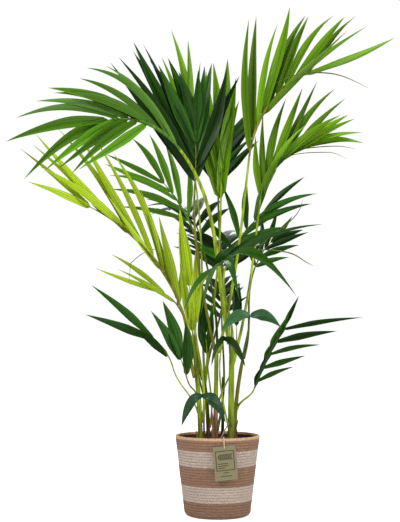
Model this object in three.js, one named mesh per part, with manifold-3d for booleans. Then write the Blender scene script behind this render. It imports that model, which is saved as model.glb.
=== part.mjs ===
// A potted kentia palm in a coiled two-tone basket.
// Millimetres, +Z up, front towards -Y, origin at the centre of the basket's flat underside.
import * as THREE from "three";
import { mergeVertices } from "three/addons/utils/BufferGeometryUtils.js";
import Module from "manifold-3d";

const wasm = await Module();
wasm.setup();

const DEG = Math.PI / 180;
const UP = new THREE.Vector3(0, 0, 1);

// Room left between two pieces that meet, and between two leaflets that pass.
const SEAT_GAP = 0.3;
const PASSING_GAP = 0.5;

// Slivers thinner than this, left where leaflets join, go into their neighbours.
const SLIVER = 0.02;

// Basket
const RIM_RADIUS = 106.5;
const FOOT_RADIUS = 84;
const FOOT_ROUND = 14;
const BASKET_HEIGHT = 200;
const BASKET_WALL = 6;
const BASKET_FLOOR = 7;
const BASKET_SIDES = 36;
const BASKET_FLARE = (RIM_RADIUS - FOOT_RADIUS) / BASKET_HEIGHT;
const RIM_EDGE_HEIGHT = 3;
const RIM_EDGE_DEPTH = 2;
const FOOT_ROUND_STEPS = 3;

// Soil
const SOIL_TOP = 188;

// Card tag on a loop of twine
const TAG_WIDTH = 56;
const TAG_HEIGHT = 82;
const TAG_THICKNESS = 1.2;
const TAG_CENTRE_X = 14;
const TAG_TOP_Z = 182;
const TAG_TURN = 5 * DEG;
const TAG_HOLE_DROP = 6;
const TWINE_RADIUS = 0.9;
const TWINE_SIDES = 6;
const TWINE_STEPS = 16;
const TWINE_SLACK = 2;
const TWINE_INSIDE_DROP = 8;

// Limbs
const STEM_SIDES = 8;
const STEM_STEPS = 6;
const PETIOLE_SIDES = 5;
const PETIOLE_STEPS = 8;
const PETIOLE_LEAN = 14 * DEG;
const PETIOLE_OFFSET = 0.8;
const PETIOLE_REACH = 0.38;
const RIB_STEPS = 5;
const RIB_ROOT_RADIUS = 2.1;
const RIB_TIP_RADIUS = 1.0;

// Leaflets: a three-sided blade, its keel a little over a hundredth of its length deep. It starts
// BLADE_FOOT of its full width wide, is full from BLADE_FULL_AT to BLADE_TAPER_AT of its length,
// and then narrows to its tip.
const BLADE_STATIONS = [0, 0.16, 0.42, 0.74];
const BLADE_DEPTH = 0.012;
const BLADE_THINNING = 0.6;
const BLADE_FOOT = 0.45;
const BLADE_FULL_AT = 0.35;
const BLADE_TAPER_AT = 0.4;
const BLADE_TAPER_POWER = 1.3;

// Each leaflet's length, angle in degrees and sag vary by these amounts.
const LENGTH_SPREAD = 0.16;
const ANGLE_SPREAD = 6;
const SAG_SPREAD = 0.6;
const LAST_LEAFLET_AT = 0.985;

// Degrees that a leaflet is turned out of its frond's plane, the first that is clear of the rest.
const TRIED_TURNS = [0, 7, -7, 14, -14, 22, -22, 30];

// Stems rise from the soil: foot and top in the basket's frame, then foot and top radius.
const STEMS = {
  a: { foot: [-43, -12], top: [-53, -12, 352], radius: [6.5, 5.5] },
  b: { foot: [-23, 16], top: [-34, 20, 338], radius: [5.5, 4.8] },
  c: { foot: [-5, -14], top: [-2, -10, 415], radius: [6.2, 5] },
  d: { foot: [34, -18], top: [37, -20, 432], radius: [8.5, 6.5] },
  e: { foot: [44, 16], top: [66, 22, 392], radius: [5.5, 4.5] },
};

// Fronds. stem, at, side: the stem, and the height and compass side that the petiole leaves by.
// thick: petiole radius at its foot and its end. base, heading, rise, fall, rib: the rib's foot,
// its compass heading, its first and last slope and its length. roll: the blade's turn about the
// rib. leaf: length of the first, middle and last leaflets. twist: how far a leaflet has turned
// about its own line at its tip, where it does. left, right: how many leaflets that side has,
// where they start on the rib, their first and last angle to it, the share of their length that
// they sag by, and how long they are beside leaf, where that isn't 1.
const FRONDS = {
  a: { stem: "d", at: 428, side: 190, thick: [4.6, 2.8], base: [-94, -60, 915], heading: 221,
    rise: 42, fall: -20, rib: 239, roll: -73, leaf: [322, 282, 262], width: 30,
    left: [5, 0.5, 39, 3, 0.21, 0.97], right: [8, 0.05, 14, 17, 0.26, 1.05], lift: 8, tone: "mid", seed: 11 },
  b: { stem: "c", at: 412, side: 170, thick: [4, 2.6], base: [-57, 10, 838], heading: 80,
    rise: 73, fall: 104, rib: 145, roll: 37, leaf: [396, 318, 168], width: 32,
    left: [10, 0.04, 43, 14, 0.1], right: [5, 0.06, 20, 3, 0.03, 0.85], lift: 10, tone: "dark", seed: 12 },
  c: { stem: "c", at: 405, side: 20, thick: [4.2, 2.8], base: [82, -10, 905], heading: 19,
    rise: 83, fall: 26, rib: 292, roll: 39, leaf: [400, 373, 388], width: 25,
    left: [9, 0.04, 10, 30, 0.13], right: [3, 0.4, 19, 2, 0.02, 0.78], lift: 6, tone: "bright", seed: 13 },
  d: { stem: "d", at: 385, side: 10, thick: [4, 2.5], base: [112, 30, 801], heading: 352,
    rise: 83, fall: 17, rib: 186, roll: 60, leaf: [150, 250, 145], width: 29,
    left: [8, 0.05, 19, 24, 0.07], right: [6, 0.04, 13, 3, 0.27, 1.06], lift: 6, tone: "bright", seed: 14 },
  e: { stem: "b", at: 336, side: 20, thick: [3.6, 2.4], base: [11, 72, 800], heading: 85,
    rise: 82, fall: 78, rib: 150, roll: 0, leaf: [270, 290, 270], width: 36,
    left: [3, 0.05, 11, 3, 0.02], right: [3, 0.1, 11, 3, 0.02], lift: 4, tone: "bright", seed: 15 },
  f: { stem: "b", at: 300, side: 85, thick: [3.4, 2.2], base: [-52, 80, 824], heading: 121,
    rise: 77, fall: 82, rib: 195, roll: 0, leaf: [220, 260, 270], width: 27,
    left: [3, 0.2, 22, 6, 0.04], right: [3, 0.3, 18, 4, 0.04], lift: 6, tone: "bright", seed: 16 },
  g: { stem: "a", at: 344, side: 200, thick: [4.2, 2.8], base: [-92, -40, 520], heading: 198,
    rise: 68, fall: 24, rib: 350, roll: -60, leaf: [225, 345, 210], width: 32,
    left: [3, 0.3, 5, 3, 0.02, 0.8], right: [9, 0.04, 15, 18, 0.03], lift: 6, tone: "lime", seed: 17 },
  h: { stem: "b", at: 290, side: 190, thick: [2.8, 2], base: [-98, 20, 520], heading: 151,
    rise: 55, fall: 28, rib: 56, roll: -40, leaf: [150, 210, 205], width: 22,
    left: [2, 0.3, 20, 8, 0.05], right: [2, 0.1, 34, 10, 0.05], lift: 4, tone: "lime", seed: 18 },
  i: { stem: "a", at: 255, side: 190, thick: [2.2, 1.6], base: [-112, -35, 370], heading: 198,
    rise: 74, fall: 36, rib: 85, roll: -60, leaf: [140, 165, 190], width: 32,
    left: [2, 0.35, 30, 16, 0.06], right: [1, 1, 4, 4, 0.02, 1.15], lift: 6, tone: "dark", seed: 19 },
  j: { stem: "a", at: 290, side: 235, thick: [2.2, 1.8], base: [-76, -75, 344], heading: 215,
    rise: 72, fall: 66, rib: 50, roll: -75, leaf: [165, 165, 165], width: 40,
    left: [1, 0.7, 12, 12, 0.03], right: [2, 0.15, 20, 4, 0.03, 0.9], lift: 4, tone: "dark", seed: 20 },
  k: { stem: "a", at: 352, side: 90, thick: [3.2, 2.6], base: [-62, -5, 446], heading: 180,
    rise: 88, fall: 84, rib: 130, roll: -90, leaf: [190, 215, 210], width: 32,
    left: [2, 0.1, 7, 2, 0.01], right: [2, 0.2, 5, 2, 0.01], lift: 4, tone: "lime", seed: 21 },
  l: { stem: "a", at: 231, side: 0, thick: [3.4, 2.6], base: [-24, -75, 600], heading: 325,
    rise: 44, fall: 24, rib: 75, roll: 25, leaf: [84, 190, 290], width: 35, twist: 60,
    left: [4, 0.1, 34, 4, 0.2], right: [5, 0.05, 132, 24, 0.5], lift: 6, tone: "dark", seed: 22 },
  m: { stem: "d", at: 430, side: 80, thick: [3.4, 2.4], base: [26, 36, 636], heading: 15,
    rise: 68, fall: 38, rib: 170, roll: 50, leaf: [120, 190, 185], width: 30,
    left: [6, 0.04, 74, 10, 0.14], right: [6, 0.04, 34, 8, 0.2], lift: 6, tone: "dark", seed: 23 },
  n: { stem: "e", at: 385, side: 250, thick: [2.2, 1.7], base: [79, -30, 478], heading: 278,
    rise: 58, fall: 50, rib: 24, roll: 0, leaf: [95, 95, 95], width: 34, twist: 100,
    left: [1, 1, 68, 68, 0.7, 0.85], right: [1, 1, 70, 70, 0.75, 0.88], lift: 0, tone: "mid", seed: 24 },
  o: { stem: "e", at: 262, side: 330, thick: [2.8, 2], base: [93, -20, 318], heading: 0,
    rise: 70, fall: 58, rib: 165, roll: 80, leaf: [100, 125, 200], width: 19,
    left: [6, 0.03, 5, 4, 0.02, 0.5], right: [5, 0.1, 46, 50, 0.06], lift: 6, tone: "dark", seed: 25 },
  p: { stem: "a", at: 240, side: 270, thick: [2, 1.5], base: [-44, -60, 286], heading: 284,
    rise: 50, fall: 34, rib: 20, roll: 0, leaf: [62, 62, 62], width: 36, twist: 120,
    left: [1, 1, 62, 62, 1.2], right: [1, 1, 66, 66, 1.5], lift: 0, tone: "dark", seed: 26 },
  q: { stem: "d", at: 214, side: 195, thick: [2.6, 1.8], base: [11, -40, 426], heading: 287,
    rise: 56, fall: 30, rib: 20, roll: 0, leaf: [62, 62, 62], width: 36, twist: 120,
    left: [1, 1, 42, 42, 1.7], right: [1, 1, 46, 46, 1.6], lift: 0, tone: "dark", seed: 27 },
  r: { stem: "b", at: 336, side: 150, thick: [3.4, 2.3], base: [-70, 90, 745], heading: 149,
    rise: 62, fall: 45, rib: 140, roll: -60, leaf: [190, 235, 210], width: 30,
    left: [5, 0.05, 44, 12, 0.16], right: [4, 0.1, 26, 8, 0.14], lift: 6, tone: "dark", seed: 28 },
  s: { stem: "e", at: 390, side: 60, thick: [3.2, 2.1], base: [98, 60, 622], heading: 35,
    rise: 66, fall: 40, rib: 92, roll: 60, leaf: [100, 135, 125], width: 28,
    left: [4, 0.08, 34, 6, 0.08], right: [4, 0.07, 44, 16, 0.14], lift: 6, tone: "dark", seed: 29 },
  t: { stem: "c", at: 270, side: 15, thick: [2.6, 1.8], base: [49, 12, 416], heading: 0,
    rise: 88, fall: 92, rib: 58, roll: 90, leaf: [115, 115, 115], width: 25,
    left: [1, 1, 4, 4, 0], right: [1, 0.5, 5, 5, 0], lift: 2, tone: "blue", seed: 30 },
  v: { stem: "d", at: 405, side: 115, thick: [4, 2.5], base: [5, 130, 830], heading: 90,
    rise: 76, fall: 26, rib: 230, roll: 0, leaf: [210, 250, 220], width: 31,
    left: [7, 0.07, 34, 10, 0.2], right: [7, 0.12, 34, 10, 0.2], lift: 14, tone: "dark", seed: 31 },
  w: { stem: "b", at: 262, side: 110, thick: [3.6, 2.4], base: [20, 140, 600], heading: 95,
    rise: 62, fall: 8, rib: 210, roll: 0, leaf: [160, 200, 180], width: 30,
    left: [7, 0.07, 48, 12, 0.22], right: [7, 0.12, 48, 12, 0.22], lift: 12, tone: "dark", seed: 32 },
  x: { stem: "c", at: 211, side: 0, thick: [3.4, 2.2], base: [14, 120, 486], heading: 92,
    rise: 66, fall: 20, rib: 150, roll: 0, leaf: [90, 120, 125], width: 28,
    left: [6, 0.07, 44, 12, 0.2], right: [6, 0.12, 44, 12, 0.2], lift: 12, tone: "dark", seed: 33 },
  y: { stem: "b", at: 216, side: 345, thick: [2.8, 1.8], base: [-26, 4, 396], heading: 160,
    rise: 88, fall: 84, rib: 60, roll: -90, leaf: [120, 135, 130], width: 28,
    left: [2, 0.1, 10, 4, 0.02], right: [2, 0.2, 8, 3, 0.02], lift: 4, tone: "dark", seed: 34 },
  z: { stem: "c", at: 370, side: 80, thick: [3.6, 2.4], base: [-40, 150, 700], heading: 112,
    rise: 60, fall: 10, rib: 200, roll: 0, leaf: [170, 210, 190], width: 30,
    left: [6, 0.07, 42, 12, 0.22], right: [6, 0.12, 42, 12, 0.22], lift: 12, tone: "dark", seed: 35 },
};

// Finishes: colour, roughness
const FINISHES = {
  basket: [0xb98c69, 0.95],
  soil: [0x2b2019, 1],
  card: [0xaaa578, 0.85],
  twine: [0xc9b48c, 0.9],
  stem: [0x7c8a34, 0.6],
  petiole: [0x8aa82a, 0.5],
  mid: [0x3c7a22, 0.5],
  bright: [0x4f9420, 0.5],
  dark: [0x1f4a1c, 0.45],
  lime: [0x8fb01e, 0.5],
  blue: [0x27443a, 0.45],
};

const solids = new Map();
const finishes = new Map();

/** Keeps a node's solid and the name of its finish. */
function keep(name, solid, finish) {
  solids.set(name, solid);
  finishes.set(name, finish);
}

/** A three.js geometry, with only its positions, as a solid. */
function toSolid(geometry) {
  geometry.deleteAttribute("normal");
  geometry.deleteAttribute("uv");
  const merged = mergeVertices(geometry, 1e-4);
  return new wasm.Manifold(new wasm.Mesh({
    numProp: 3,
    vertProperties: new Float32Array(merged.attributes.position.array),
    triVerts: new Uint32Array(merged.index.array),
  }));
}

/** A solid as a three.js geometry. */
function toGeometry(solid) {
  const mesh = solid.getMesh();
  const geometry = new THREE.BufferGeometry();
  geometry.setAttribute("position", new THREE.BufferAttribute(mesh.vertProperties, 3));
  geometry.setIndex(new THREE.BufferAttribute(mesh.triVerts, 1));
  geometry.computeVertexNormals();
  return geometry;
}

/** The largest body of a solid, without slivers: loose scraps and sealed hollows are dropped. */
function wholeBody(solid) {
  const bodies = solid.asOriginal().simplify(SLIVER).decompose();
  return bodies.reduce((largest, body) => (body.volume() > largest.volume() ? body : largest));
}

/** Closed solid through rings of equal size, with an optional point past the last ring. */
function loft(rings, tip = null) {
  const sides = rings[0].length;
  const points = rings.flat();
  const faces = [];
  for (let ring = 0; ring + 1 < rings.length; ring += 1) {
    for (let i = 0; i < sides; i += 1) {
      const a = ring * sides + i;
      const b = ring * sides + ((i + 1) % sides);
      faces.push(a, b, b + sides, a, b + sides, a + sides);
    }
  }
  for (let i = 1; i + 1 < sides; i += 1) {
    faces.push(0, i + 1, i);
  }
  const last = (rings.length - 1) * sides;
  if (tip) {
    points.push(tip);
    for (let i = 0; i < sides; i += 1) {
      faces.push(last + i, last + ((i + 1) % sides), points.length - 1);
    }
  } else {
    for (let i = 1; i + 1 < sides; i += 1) {
      faces.push(last, last + i, last + i + 1);
    }
  }
  const geometry = new THREE.BufferGeometry();
  geometry.setFromPoints(points);
  geometry.setIndex(faces);
  return toSolid(geometry);
}

/** Solid through rings that turn about their line: the hulls of each two, joined, up to a tip. */
function turningLoft(rings, tip) {
  const places = [...rings, [tip]];
  const stretches = rings.map((ring, number) => wasm.Manifold.hull(
    [...ring, ...places[number + 1]].map((point) => point.toArray()),
  ));
  return wasm.Manifold.union(stretches);
}

/** Tapered round limb along a three.js curve. */
function limb(curve, radii, sides, steps) {
  const frames = curve.computeFrenetFrames(steps, false);
  const rings = [];
  for (let step = 0; step <= steps; step += 1) {
    const share = step / steps;
    const radius = THREE.MathUtils.lerp(radii[0], radii[1], share);
    const centre = curve.getPointAt(share);
    const ring = [];
    for (let i = 0; i < sides; i += 1) {
      const turn = (2 * Math.PI * i) / sides;
      ring.push(centre.clone()
        .addScaledVector(frames.normals[step], radius * Math.cos(turn))
        .addScaledVector(frames.binormals[step], radius * Math.sin(turn)));
    }
    rings.push(ring);
  }
  return loft(rings);
}

/** True where a solid runs into one of the others. */
function touches(solid, others) {
  const box = solid.boundingBox();
  return others.some((other) => {
    const room = other.boundingBox();
    const apart = [0, 1, 2].some(
      (axis) => box.min[axis] > room.max[axis] || box.max[axis] < room.min[axis],
    );
    return !apart && !solid.intersect(other).isEmpty();
  });
}

/** Seeded numbers between 0 and 1. */
function makeDice(seed) {
  let state = seed * 7919;
  return () => {
    state = (state * 16807) % 2147483647;
    return state / 2147483647;
  };
}

/** Radius of the basket's inner face at a height. */
function basketInside(height) {
  return FOOT_RADIUS + BASKET_FLARE * height - BASKET_WALL;
}

/** Solid turned about +Z from a profile of radius and height that starts and ends on the axis. */
function turned(profile) {
  return toSolid(new THREE.LatheGeometry(profile, BASKET_SIDES).rotateX(90 * DEG));
}

// Basket: a tapered wall with a rounded foot, open at the top.
function makeBasket() {
  const profile = [new THREE.Vector2(0, 0)];
  for (let step = 0; step <= FOOT_ROUND_STEPS; step += 1) {
    const turn = (step / FOOT_ROUND_STEPS) * 90 * DEG;
    profile.push(new THREE.Vector2(
      FOOT_RADIUS - FOOT_ROUND + FOOT_ROUND * Math.sin(turn),
      FOOT_ROUND - FOOT_ROUND * Math.cos(turn),
    ));
  }
  profile.push(
    new THREE.Vector2(RIM_RADIUS, BASKET_HEIGHT - RIM_EDGE_HEIGHT),
    new THREE.Vector2(RIM_RADIUS - RIM_EDGE_DEPTH, BASKET_HEIGHT),
    new THREE.Vector2(basketInside(BASKET_HEIGHT), BASKET_HEIGHT),
    new THREE.Vector2(basketInside(BASKET_FLOOR), BASKET_FLOOR),
    new THREE.Vector2(0, BASKET_FLOOR),
  );
  return turned(profile);
}

// Soil: fills the basket to just below the rim.
function makeSoil() {
  const low = BASKET_FLOOR + SEAT_GAP;
  return turned([
    new THREE.Vector2(0, low),
    new THREE.Vector2(basketInside(low) - SEAT_GAP, low),
    new THREE.Vector2(basketInside(SOIL_TOP) - SEAT_GAP, SOIL_TOP),
    new THREE.Vector2(0, SOIL_TOP),
  ]);
}

// Where the tag hangs: just in front of the rim, square to the basket's radius there.
const TAG_SLANT = Math.asin(TAG_CENTRE_X / RIM_RADIUS);
const TAG_FACE = RIM_RADIUS + SEAT_GAP + TAG_THICKNESS;
const placeTag = new THREE.Matrix4()
  .makeRotationZ(TAG_SLANT)
  .multiply(new THREE.Matrix4().makeTranslation(0, -TAG_FACE, TAG_TOP_Z - TAG_HOLE_DROP))
  .multiply(new THREE.Matrix4().makeRotationY(-TAG_TURN));

// Tag: a plain card with a hole near its top edge.
function makeTag() {
  const card = new THREE.Shape();
  card.moveTo(-TAG_WIDTH / 2, TAG_HOLE_DROP - TAG_HEIGHT);
  card.lineTo(TAG_WIDTH / 2, TAG_HOLE_DROP - TAG_HEIGHT);
  card.lineTo(TAG_WIDTH / 2, TAG_HOLE_DROP);
  card.lineTo(-TAG_WIDTH / 2, TAG_HOLE_DROP);
  card.closePath();
  const hole = new THREE.Path();
  hole.absarc(0, 0, TWINE_RADIUS + SEAT_GAP, 0, 2 * Math.PI, true);
  card.holes.push(hole);
  const geometry = new THREE.ExtrudeGeometry(card, {
    depth: TAG_THICKNESS, bevelEnabled: false, curveSegments: 4,
  });
  geometry.rotateX(90 * DEG);
  geometry.translate(0, TAG_THICKNESS, 0);
  geometry.applyMatrix4(placeTag);
  return toSolid(geometry);
}

// Twine: from the tag's hole over the rim and down inside it.
function makeTwine() {
  const over = BASKET_HEIGHT + TWINE_RADIUS + SEAT_GAP;
  const outside = RIM_RADIUS + TWINE_RADIUS + SEAT_GAP;
  const inside = basketInside(BASKET_HEIGHT) - TWINE_RADIUS - 2 * SEAT_GAP;
  const hole = TAG_TOP_Z - TAG_HOLE_DROP;
  const route = new THREE.CatmullRomCurve3([
    new THREE.Vector3(0, -TAG_FACE + TAG_THICKNESS, hole),
    new THREE.Vector3(0, -TAG_FACE - TWINE_SLACK, hole + TWINE_RADIUS),
    new THREE.Vector3(0, -outside - TWINE_SLACK, (hole + over) / 2),
    new THREE.Vector3(0, -outside, over - RIM_EDGE_HEIGHT - TWINE_SLACK),
    new THREE.Vector3(0, -outside + RIM_EDGE_DEPTH, over),
    new THREE.Vector3(0, -inside, over),
    new THREE.Vector3(0, -inside + TWINE_RADIUS, over - TWINE_INSIDE_DROP),
  ], false, "centripetal");
  const section = new THREE.Shape();
  section.absarc(0, 0, TWINE_RADIUS, 0, 2 * Math.PI);
  const geometry = new THREE.ExtrudeGeometry(section, {
    extrudePath: route, steps: TWINE_STEPS, curveSegments: TWINE_SIDES / 2, bevelEnabled: false,
  });
  geometry.rotateZ(TAG_SLANT);
  return toSolid(geometry);
}

/** The line of a stem: straight up from the soil at first, then leaning to its top. */
function stemLine(stem) {
  const foot = new THREE.Vector3(stem.foot[0], stem.foot[1], SOIL_TOP + SEAT_GAP);
  const top = new THREE.Vector3(...stem.top);
  const middle = new THREE.Vector3(foot.x, foot.y, (foot.z + top.z) / 2);
  return new THREE.QuadraticBezierCurve3(foot, middle, top);
}

/** A stem, or the same stem with room round it. */
function makeStem(stem, room = 0) {
  const line = stemLine(stem);
  return limb(line, stem.radius.map((radius) => radius + room), STEM_SIDES, STEM_STEPS);
}

/** Point, direction, face and right-hand side of a frond's rib at a share of its length. */
function ribFrame(frond, share) {
  const heading = frond.heading * DEG;
  const rise = frond.rise * DEG;
  const bend = (frond.fall - frond.rise) * DEG;
  const slope = rise + bend * share;
  const run = (frond.rib / bend) * (Math.sin(slope) - Math.sin(rise));
  const climb = (-frond.rib / bend) * (Math.cos(slope) - Math.cos(rise));
  const ahead = new THREE.Vector3(Math.cos(heading), Math.sin(heading), 0);
  const along = ahead.clone().multiplyScalar(Math.cos(slope)).addScaledVector(UP, Math.sin(slope));
  const flatFace = ahead.clone().multiplyScalar(-Math.sin(slope)).addScaledVector(UP, Math.cos(slope));
  const flatRight = along.clone().cross(flatFace);
  const roll = frond.roll * DEG;
  const face = flatFace.multiplyScalar(Math.cos(roll)).addScaledVector(flatRight, Math.sin(roll));
  const right = along.clone().cross(face);
  const point = new THREE.Vector3(...frond.base).addScaledVector(ahead, run)
    .addScaledVector(UP, climb);
  return { point, along, face, right };
}

/** A frond's rib: a slim four-sided spine from the petiole's end to the last leaflets. */
function makeRib(frond, room = 0) {
  const rings = [];
  for (let step = 0; step <= RIB_STEPS; step += 1) {
    const share = step / RIB_STEPS;
    const radius = THREE.MathUtils.lerp(RIB_ROOT_RADIUS, RIB_TIP_RADIUS, share) + room;
    const { point, face, right } = ribFrame(frond, share);
    rings.push([
      point.clone().addScaledVector(face, radius),
      point.clone().addScaledVector(right, radius),
      point.clone().addScaledVector(face, -radius),
      point.clone().addScaledVector(right, -radius),
    ]);
  }
  return loft(rings);
}

/** A petiole: from inside its stem, up and out to the foot of the rib. */
function makePetiole(frond) {
  const stem = STEMS[frond.stem];
  const line = stemLine(stem);
  const height = (frond.at - SOIL_TOP) / (stem.top[2] - SOIL_TOP);
  const side = frond.side * DEG;
  const out = new THREE.Vector3(Math.cos(side), Math.sin(side), 0);
  const foot = line.getPoint(height).addScaledVector(out, stem.radius[1] * PETIOLE_OFFSET);
  const rib = ribFrame(frond, 0);
  const end = rib.point.clone().addScaledVector(rib.along, -SEAT_GAP);
  const reach = foot.distanceTo(end) * PETIOLE_REACH;
  const start = line.getTangent(height).multiplyScalar(Math.cos(PETIOLE_LEAN))
    .addScaledVector(out, Math.sin(PETIOLE_LEAN));
  const route = new THREE.CubicBezierCurve3(
    foot,
    foot.clone().addScaledVector(start, reach),
    end.clone().addScaledVector(rib.along, -reach),
    end,
  );
  return limb(route, frond.thick, PETIOLE_SIDES, PETIOLE_STEPS);
}

/** Share of its full width that a leaflet has at a share of its length. */
function bladeWidth(share) {
  const swell = THREE.MathUtils.lerp(BLADE_FOOT, 1, Math.min(1, share / BLADE_FULL_AT));
  const narrowing = Math.max(0, share - BLADE_TAPER_AT) / (1 - BLADE_TAPER_AT);
  return swell * (1 - narrowing ** BLADE_TAPER_POWER);
}

/** The leaflets of a frond in their order, each with its place on the rib, size and sag. */
function planLeaflets(frond) {
  const dice = makeDice(frond.seed);
  const jitter = (spread) => spread * (dice() - 0.5);
  const [early, middle, late] = frond.leaf;
  const plan = (side, [count, start, firstAngle, lastAngle, sag, reach = 1]) => {
    const leaflets = [];
    for (let number = 0; number < count; number += 1) {
      const even = count > 1 ? number / (count - 1) : 1;
      const share = THREE.MathUtils.lerp(start, LAST_LEAFLET_AT, even);
      const length = early * (1 - share) * (1 - 2 * share) + middle * 4 * share * (1 - share)
        + late * share * (2 * share - 1);
      leaflets.push({
        side,
        share,
        length: length * reach * (1 + jitter(LENGTH_SPREAD)),
        angle: THREE.MathUtils.lerp(firstAngle, lastAngle, even) + jitter(ANGLE_SPREAD),
        sag: sag * (1 + jitter(SAG_SPREAD)),
      });
    }
    return leaflets;
  };
  return [...plan(-1, frond.left), ...plan(1, frond.right)];
}

/** One leaflet as a three-sided blade, turned out of the frond's plane by some degrees. */
function makeBlade(frond, leaflet, turn, room = 0) {
  const { point, along, face, right } = ribFrame(frond, leaflet.share);
  const lift = (frond.lift + turn) * DEG;
  const outward = right.clone().multiplyScalar(leaflet.side * Math.cos(lift))
    .addScaledVector(face, Math.sin(lift));
  const angle = leaflet.angle * DEG;
  const first = along.clone().multiplyScalar(Math.cos(angle))
    .addScaledVector(outward, Math.sin(angle));
  const across = face.clone().cross(first).normalize();
  const at = (share) => point.clone()
    .addScaledVector(first, leaflet.length * share)
    .addScaledVector(UP, -leaflet.length * leaflet.sag * share * share);
  const rings = BLADE_STATIONS.map((share) => {
    const heading = first.clone().addScaledVector(UP, -2 * leaflet.sag * share).normalize();
    const wide = across.clone().addScaledVector(heading, -across.dot(heading)).normalize()
      .applyAxisAngle(heading, leaflet.side * (frond.twist ?? 0) * DEG * share);
    const upper = heading.clone().cross(wide);
    const half = (frond.width * bladeWidth(share)) / 2 + room;
    const depth = leaflet.length * BLADE_DEPTH * (1 - BLADE_THINNING * share) + room;
    return [
      at(share).addScaledVector(wide, half).addScaledVector(upper, room),
      at(share).addScaledVector(wide, -half).addScaledVector(upper, room),
      at(share).addScaledVector(upper, -depth),
    ];
  });
  const tip = at(1 + room / leaflet.length);
  return frond.twist ? turningLoft(rings, tip) : loft(rings, tip);
}

keep("basket", makeBasket(), "basket");
keep("soil", makeSoil(), "soil");
keep("tag", makeTag(), "card");
keep("tag_string", makeTwine(), "twine");

const roomyStems = [];
for (const [name, stem] of Object.entries(STEMS)) {
  keep(`stem_${name}`, makeStem(stem), "stem");
  roomyStems.push(makeStem(stem, SEAT_GAP));
}
for (const [name, frond] of Object.entries(FRONDS)) {
  const clear = roomyStems.reduce((petiole, stem) => petiole.subtract(stem), makePetiole(frond));
  keep(`petiole_${name}`, wholeBody(clear), "petiole");
}

const ribs = new Map(Object.entries(FRONDS).map(([name, frond]) => [name, makeRib(frond)]));
const fixed = [...solids.values()];
const grown = new Map();
for (const [name, frond] of Object.entries(FRONDS)) {
  const otherRibs = [...ribs].filter(([other]) => other !== name).map(([, rib]) => rib);
  const obstacles = [...fixed, ...otherRibs, ...[...grown.values()].flat()];
  const blades = [];
  for (const leaflet of planLeaflets(frond)) {
    const turn = TRIED_TURNS.find(
      (tried) => !touches(makeBlade(frond, leaflet, tried, PASSING_GAP), obstacles),
    );
    if (turn !== undefined) {
      blades.push(makeBlade(frond, leaflet, turn));
    }
  }
  grown.set(name, blades);
  keep(`frond_${name}`, wholeBody(wasm.Manifold.union([ribs.get(name), ...blades])), frond.tone);
}

const palm = new THREE.Group();
for (const [name, solid] of solids) {
  const [color, roughness] = FINISHES[finishes.get(name)];
  const material = new THREE.MeshStandardMaterial({ color, roughness, metalness: 0 });
  const mesh = new THREE.Mesh(toGeometry(solid), material);
  mesh.name = name;
  palm.add(mesh);
}

export default palm;
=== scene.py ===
"""A potted kentia palm in a basket of coiled rope.

Five slim stems rise from the soil. Each carries feather fronds on long stalks, and a frond's
leaflets are pleated blades that narrow to a point. The basket is sewn from rows of rope in two
colours, and a card tag hangs from its rim on a loop of twine.

Sizes in the tables are millimetres, as on the drawing. Meshes are scaled to metres at the end.
"""

import math
import random

import bmesh
import bpy
from bpy.props import FloatProperty, FloatVectorProperty, IntProperty, PointerProperty
from bpy.types import Operator, Panel, PropertyGroup
from mathutils import Matrix, Vector, kdtree, noise


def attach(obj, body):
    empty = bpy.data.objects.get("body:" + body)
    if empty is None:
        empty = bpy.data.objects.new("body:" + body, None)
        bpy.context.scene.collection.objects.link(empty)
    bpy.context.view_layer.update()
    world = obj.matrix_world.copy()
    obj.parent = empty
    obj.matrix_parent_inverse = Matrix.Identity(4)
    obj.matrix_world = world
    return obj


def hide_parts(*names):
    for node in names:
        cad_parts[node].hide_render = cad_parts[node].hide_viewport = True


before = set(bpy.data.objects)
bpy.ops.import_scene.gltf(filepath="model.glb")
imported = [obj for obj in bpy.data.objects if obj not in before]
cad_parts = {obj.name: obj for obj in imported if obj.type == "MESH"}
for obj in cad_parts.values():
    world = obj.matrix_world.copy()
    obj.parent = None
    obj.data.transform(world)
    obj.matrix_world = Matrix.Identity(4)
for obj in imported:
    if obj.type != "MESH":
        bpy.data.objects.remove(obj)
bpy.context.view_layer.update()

bl_info = {
    "name": "Potted Kentia Palm",
    "version": (1, 0, 0),
    "blender": (4, 5, 0),
    "location": "View3D > Sidebar > Palm",
    "description": "Builds a potted kentia palm in a basket of coiled rope",
    "category": "Add Mesh",
}

MM = 0.001
UP = Vector((0, 0, 1))

# Corners of a limb, of a spun piece and of the leaves that are closer than this become one.
LIMB_MERGE = 0.001
SPIN_MERGE = 0.01
LEAF_MERGE = 0.002

# Basket
RIM_RADIUS = 106.5
FOOT_RADIUS = 84.0
FOOT_ROUND = 14.0
BASKET_HEIGHT = 200.0
BASKET_WALL = 6.0
BASKET_FLOOR = 7.0
RIM_EDGE_HEIGHT = 3.0
BASKET_SPIN_STEPS = 120
ROPE_POINTS = 5
LOWEST_ROPE = 0.3
LIP_STEPS = 8
INSIDE_ROWS = 5
# How far the wall is out of round, how often that changes round the basket, and over what height.
BASKET_WOBBLE = 0.7
WOBBLE_AROUND = 1.4
WOBBLE_HEIGHT = 45.0
# Rows of rope in each band, from the rim down, and the kinds of rope.
BANDS = (("rim", 1), ("brown", 4), ("cream", 6), ("brown", 7), ("cream", 6), ("foot", 6))
BASKET_COLOURS = ("brown", "cream", "rim", "foot", "inside")
# The inside colour, a dark brown, is painted shade inside the basket. It starts this far under
# the rim, and ends this far under the floor's face.
RIM_INSIDE = 5.0
FLOOR_INSIDE = 1.0

# Rope: strands round the basket, and stitches round one row of it
ROPE_STRANDS = 104.0
STITCHES = 78
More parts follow.
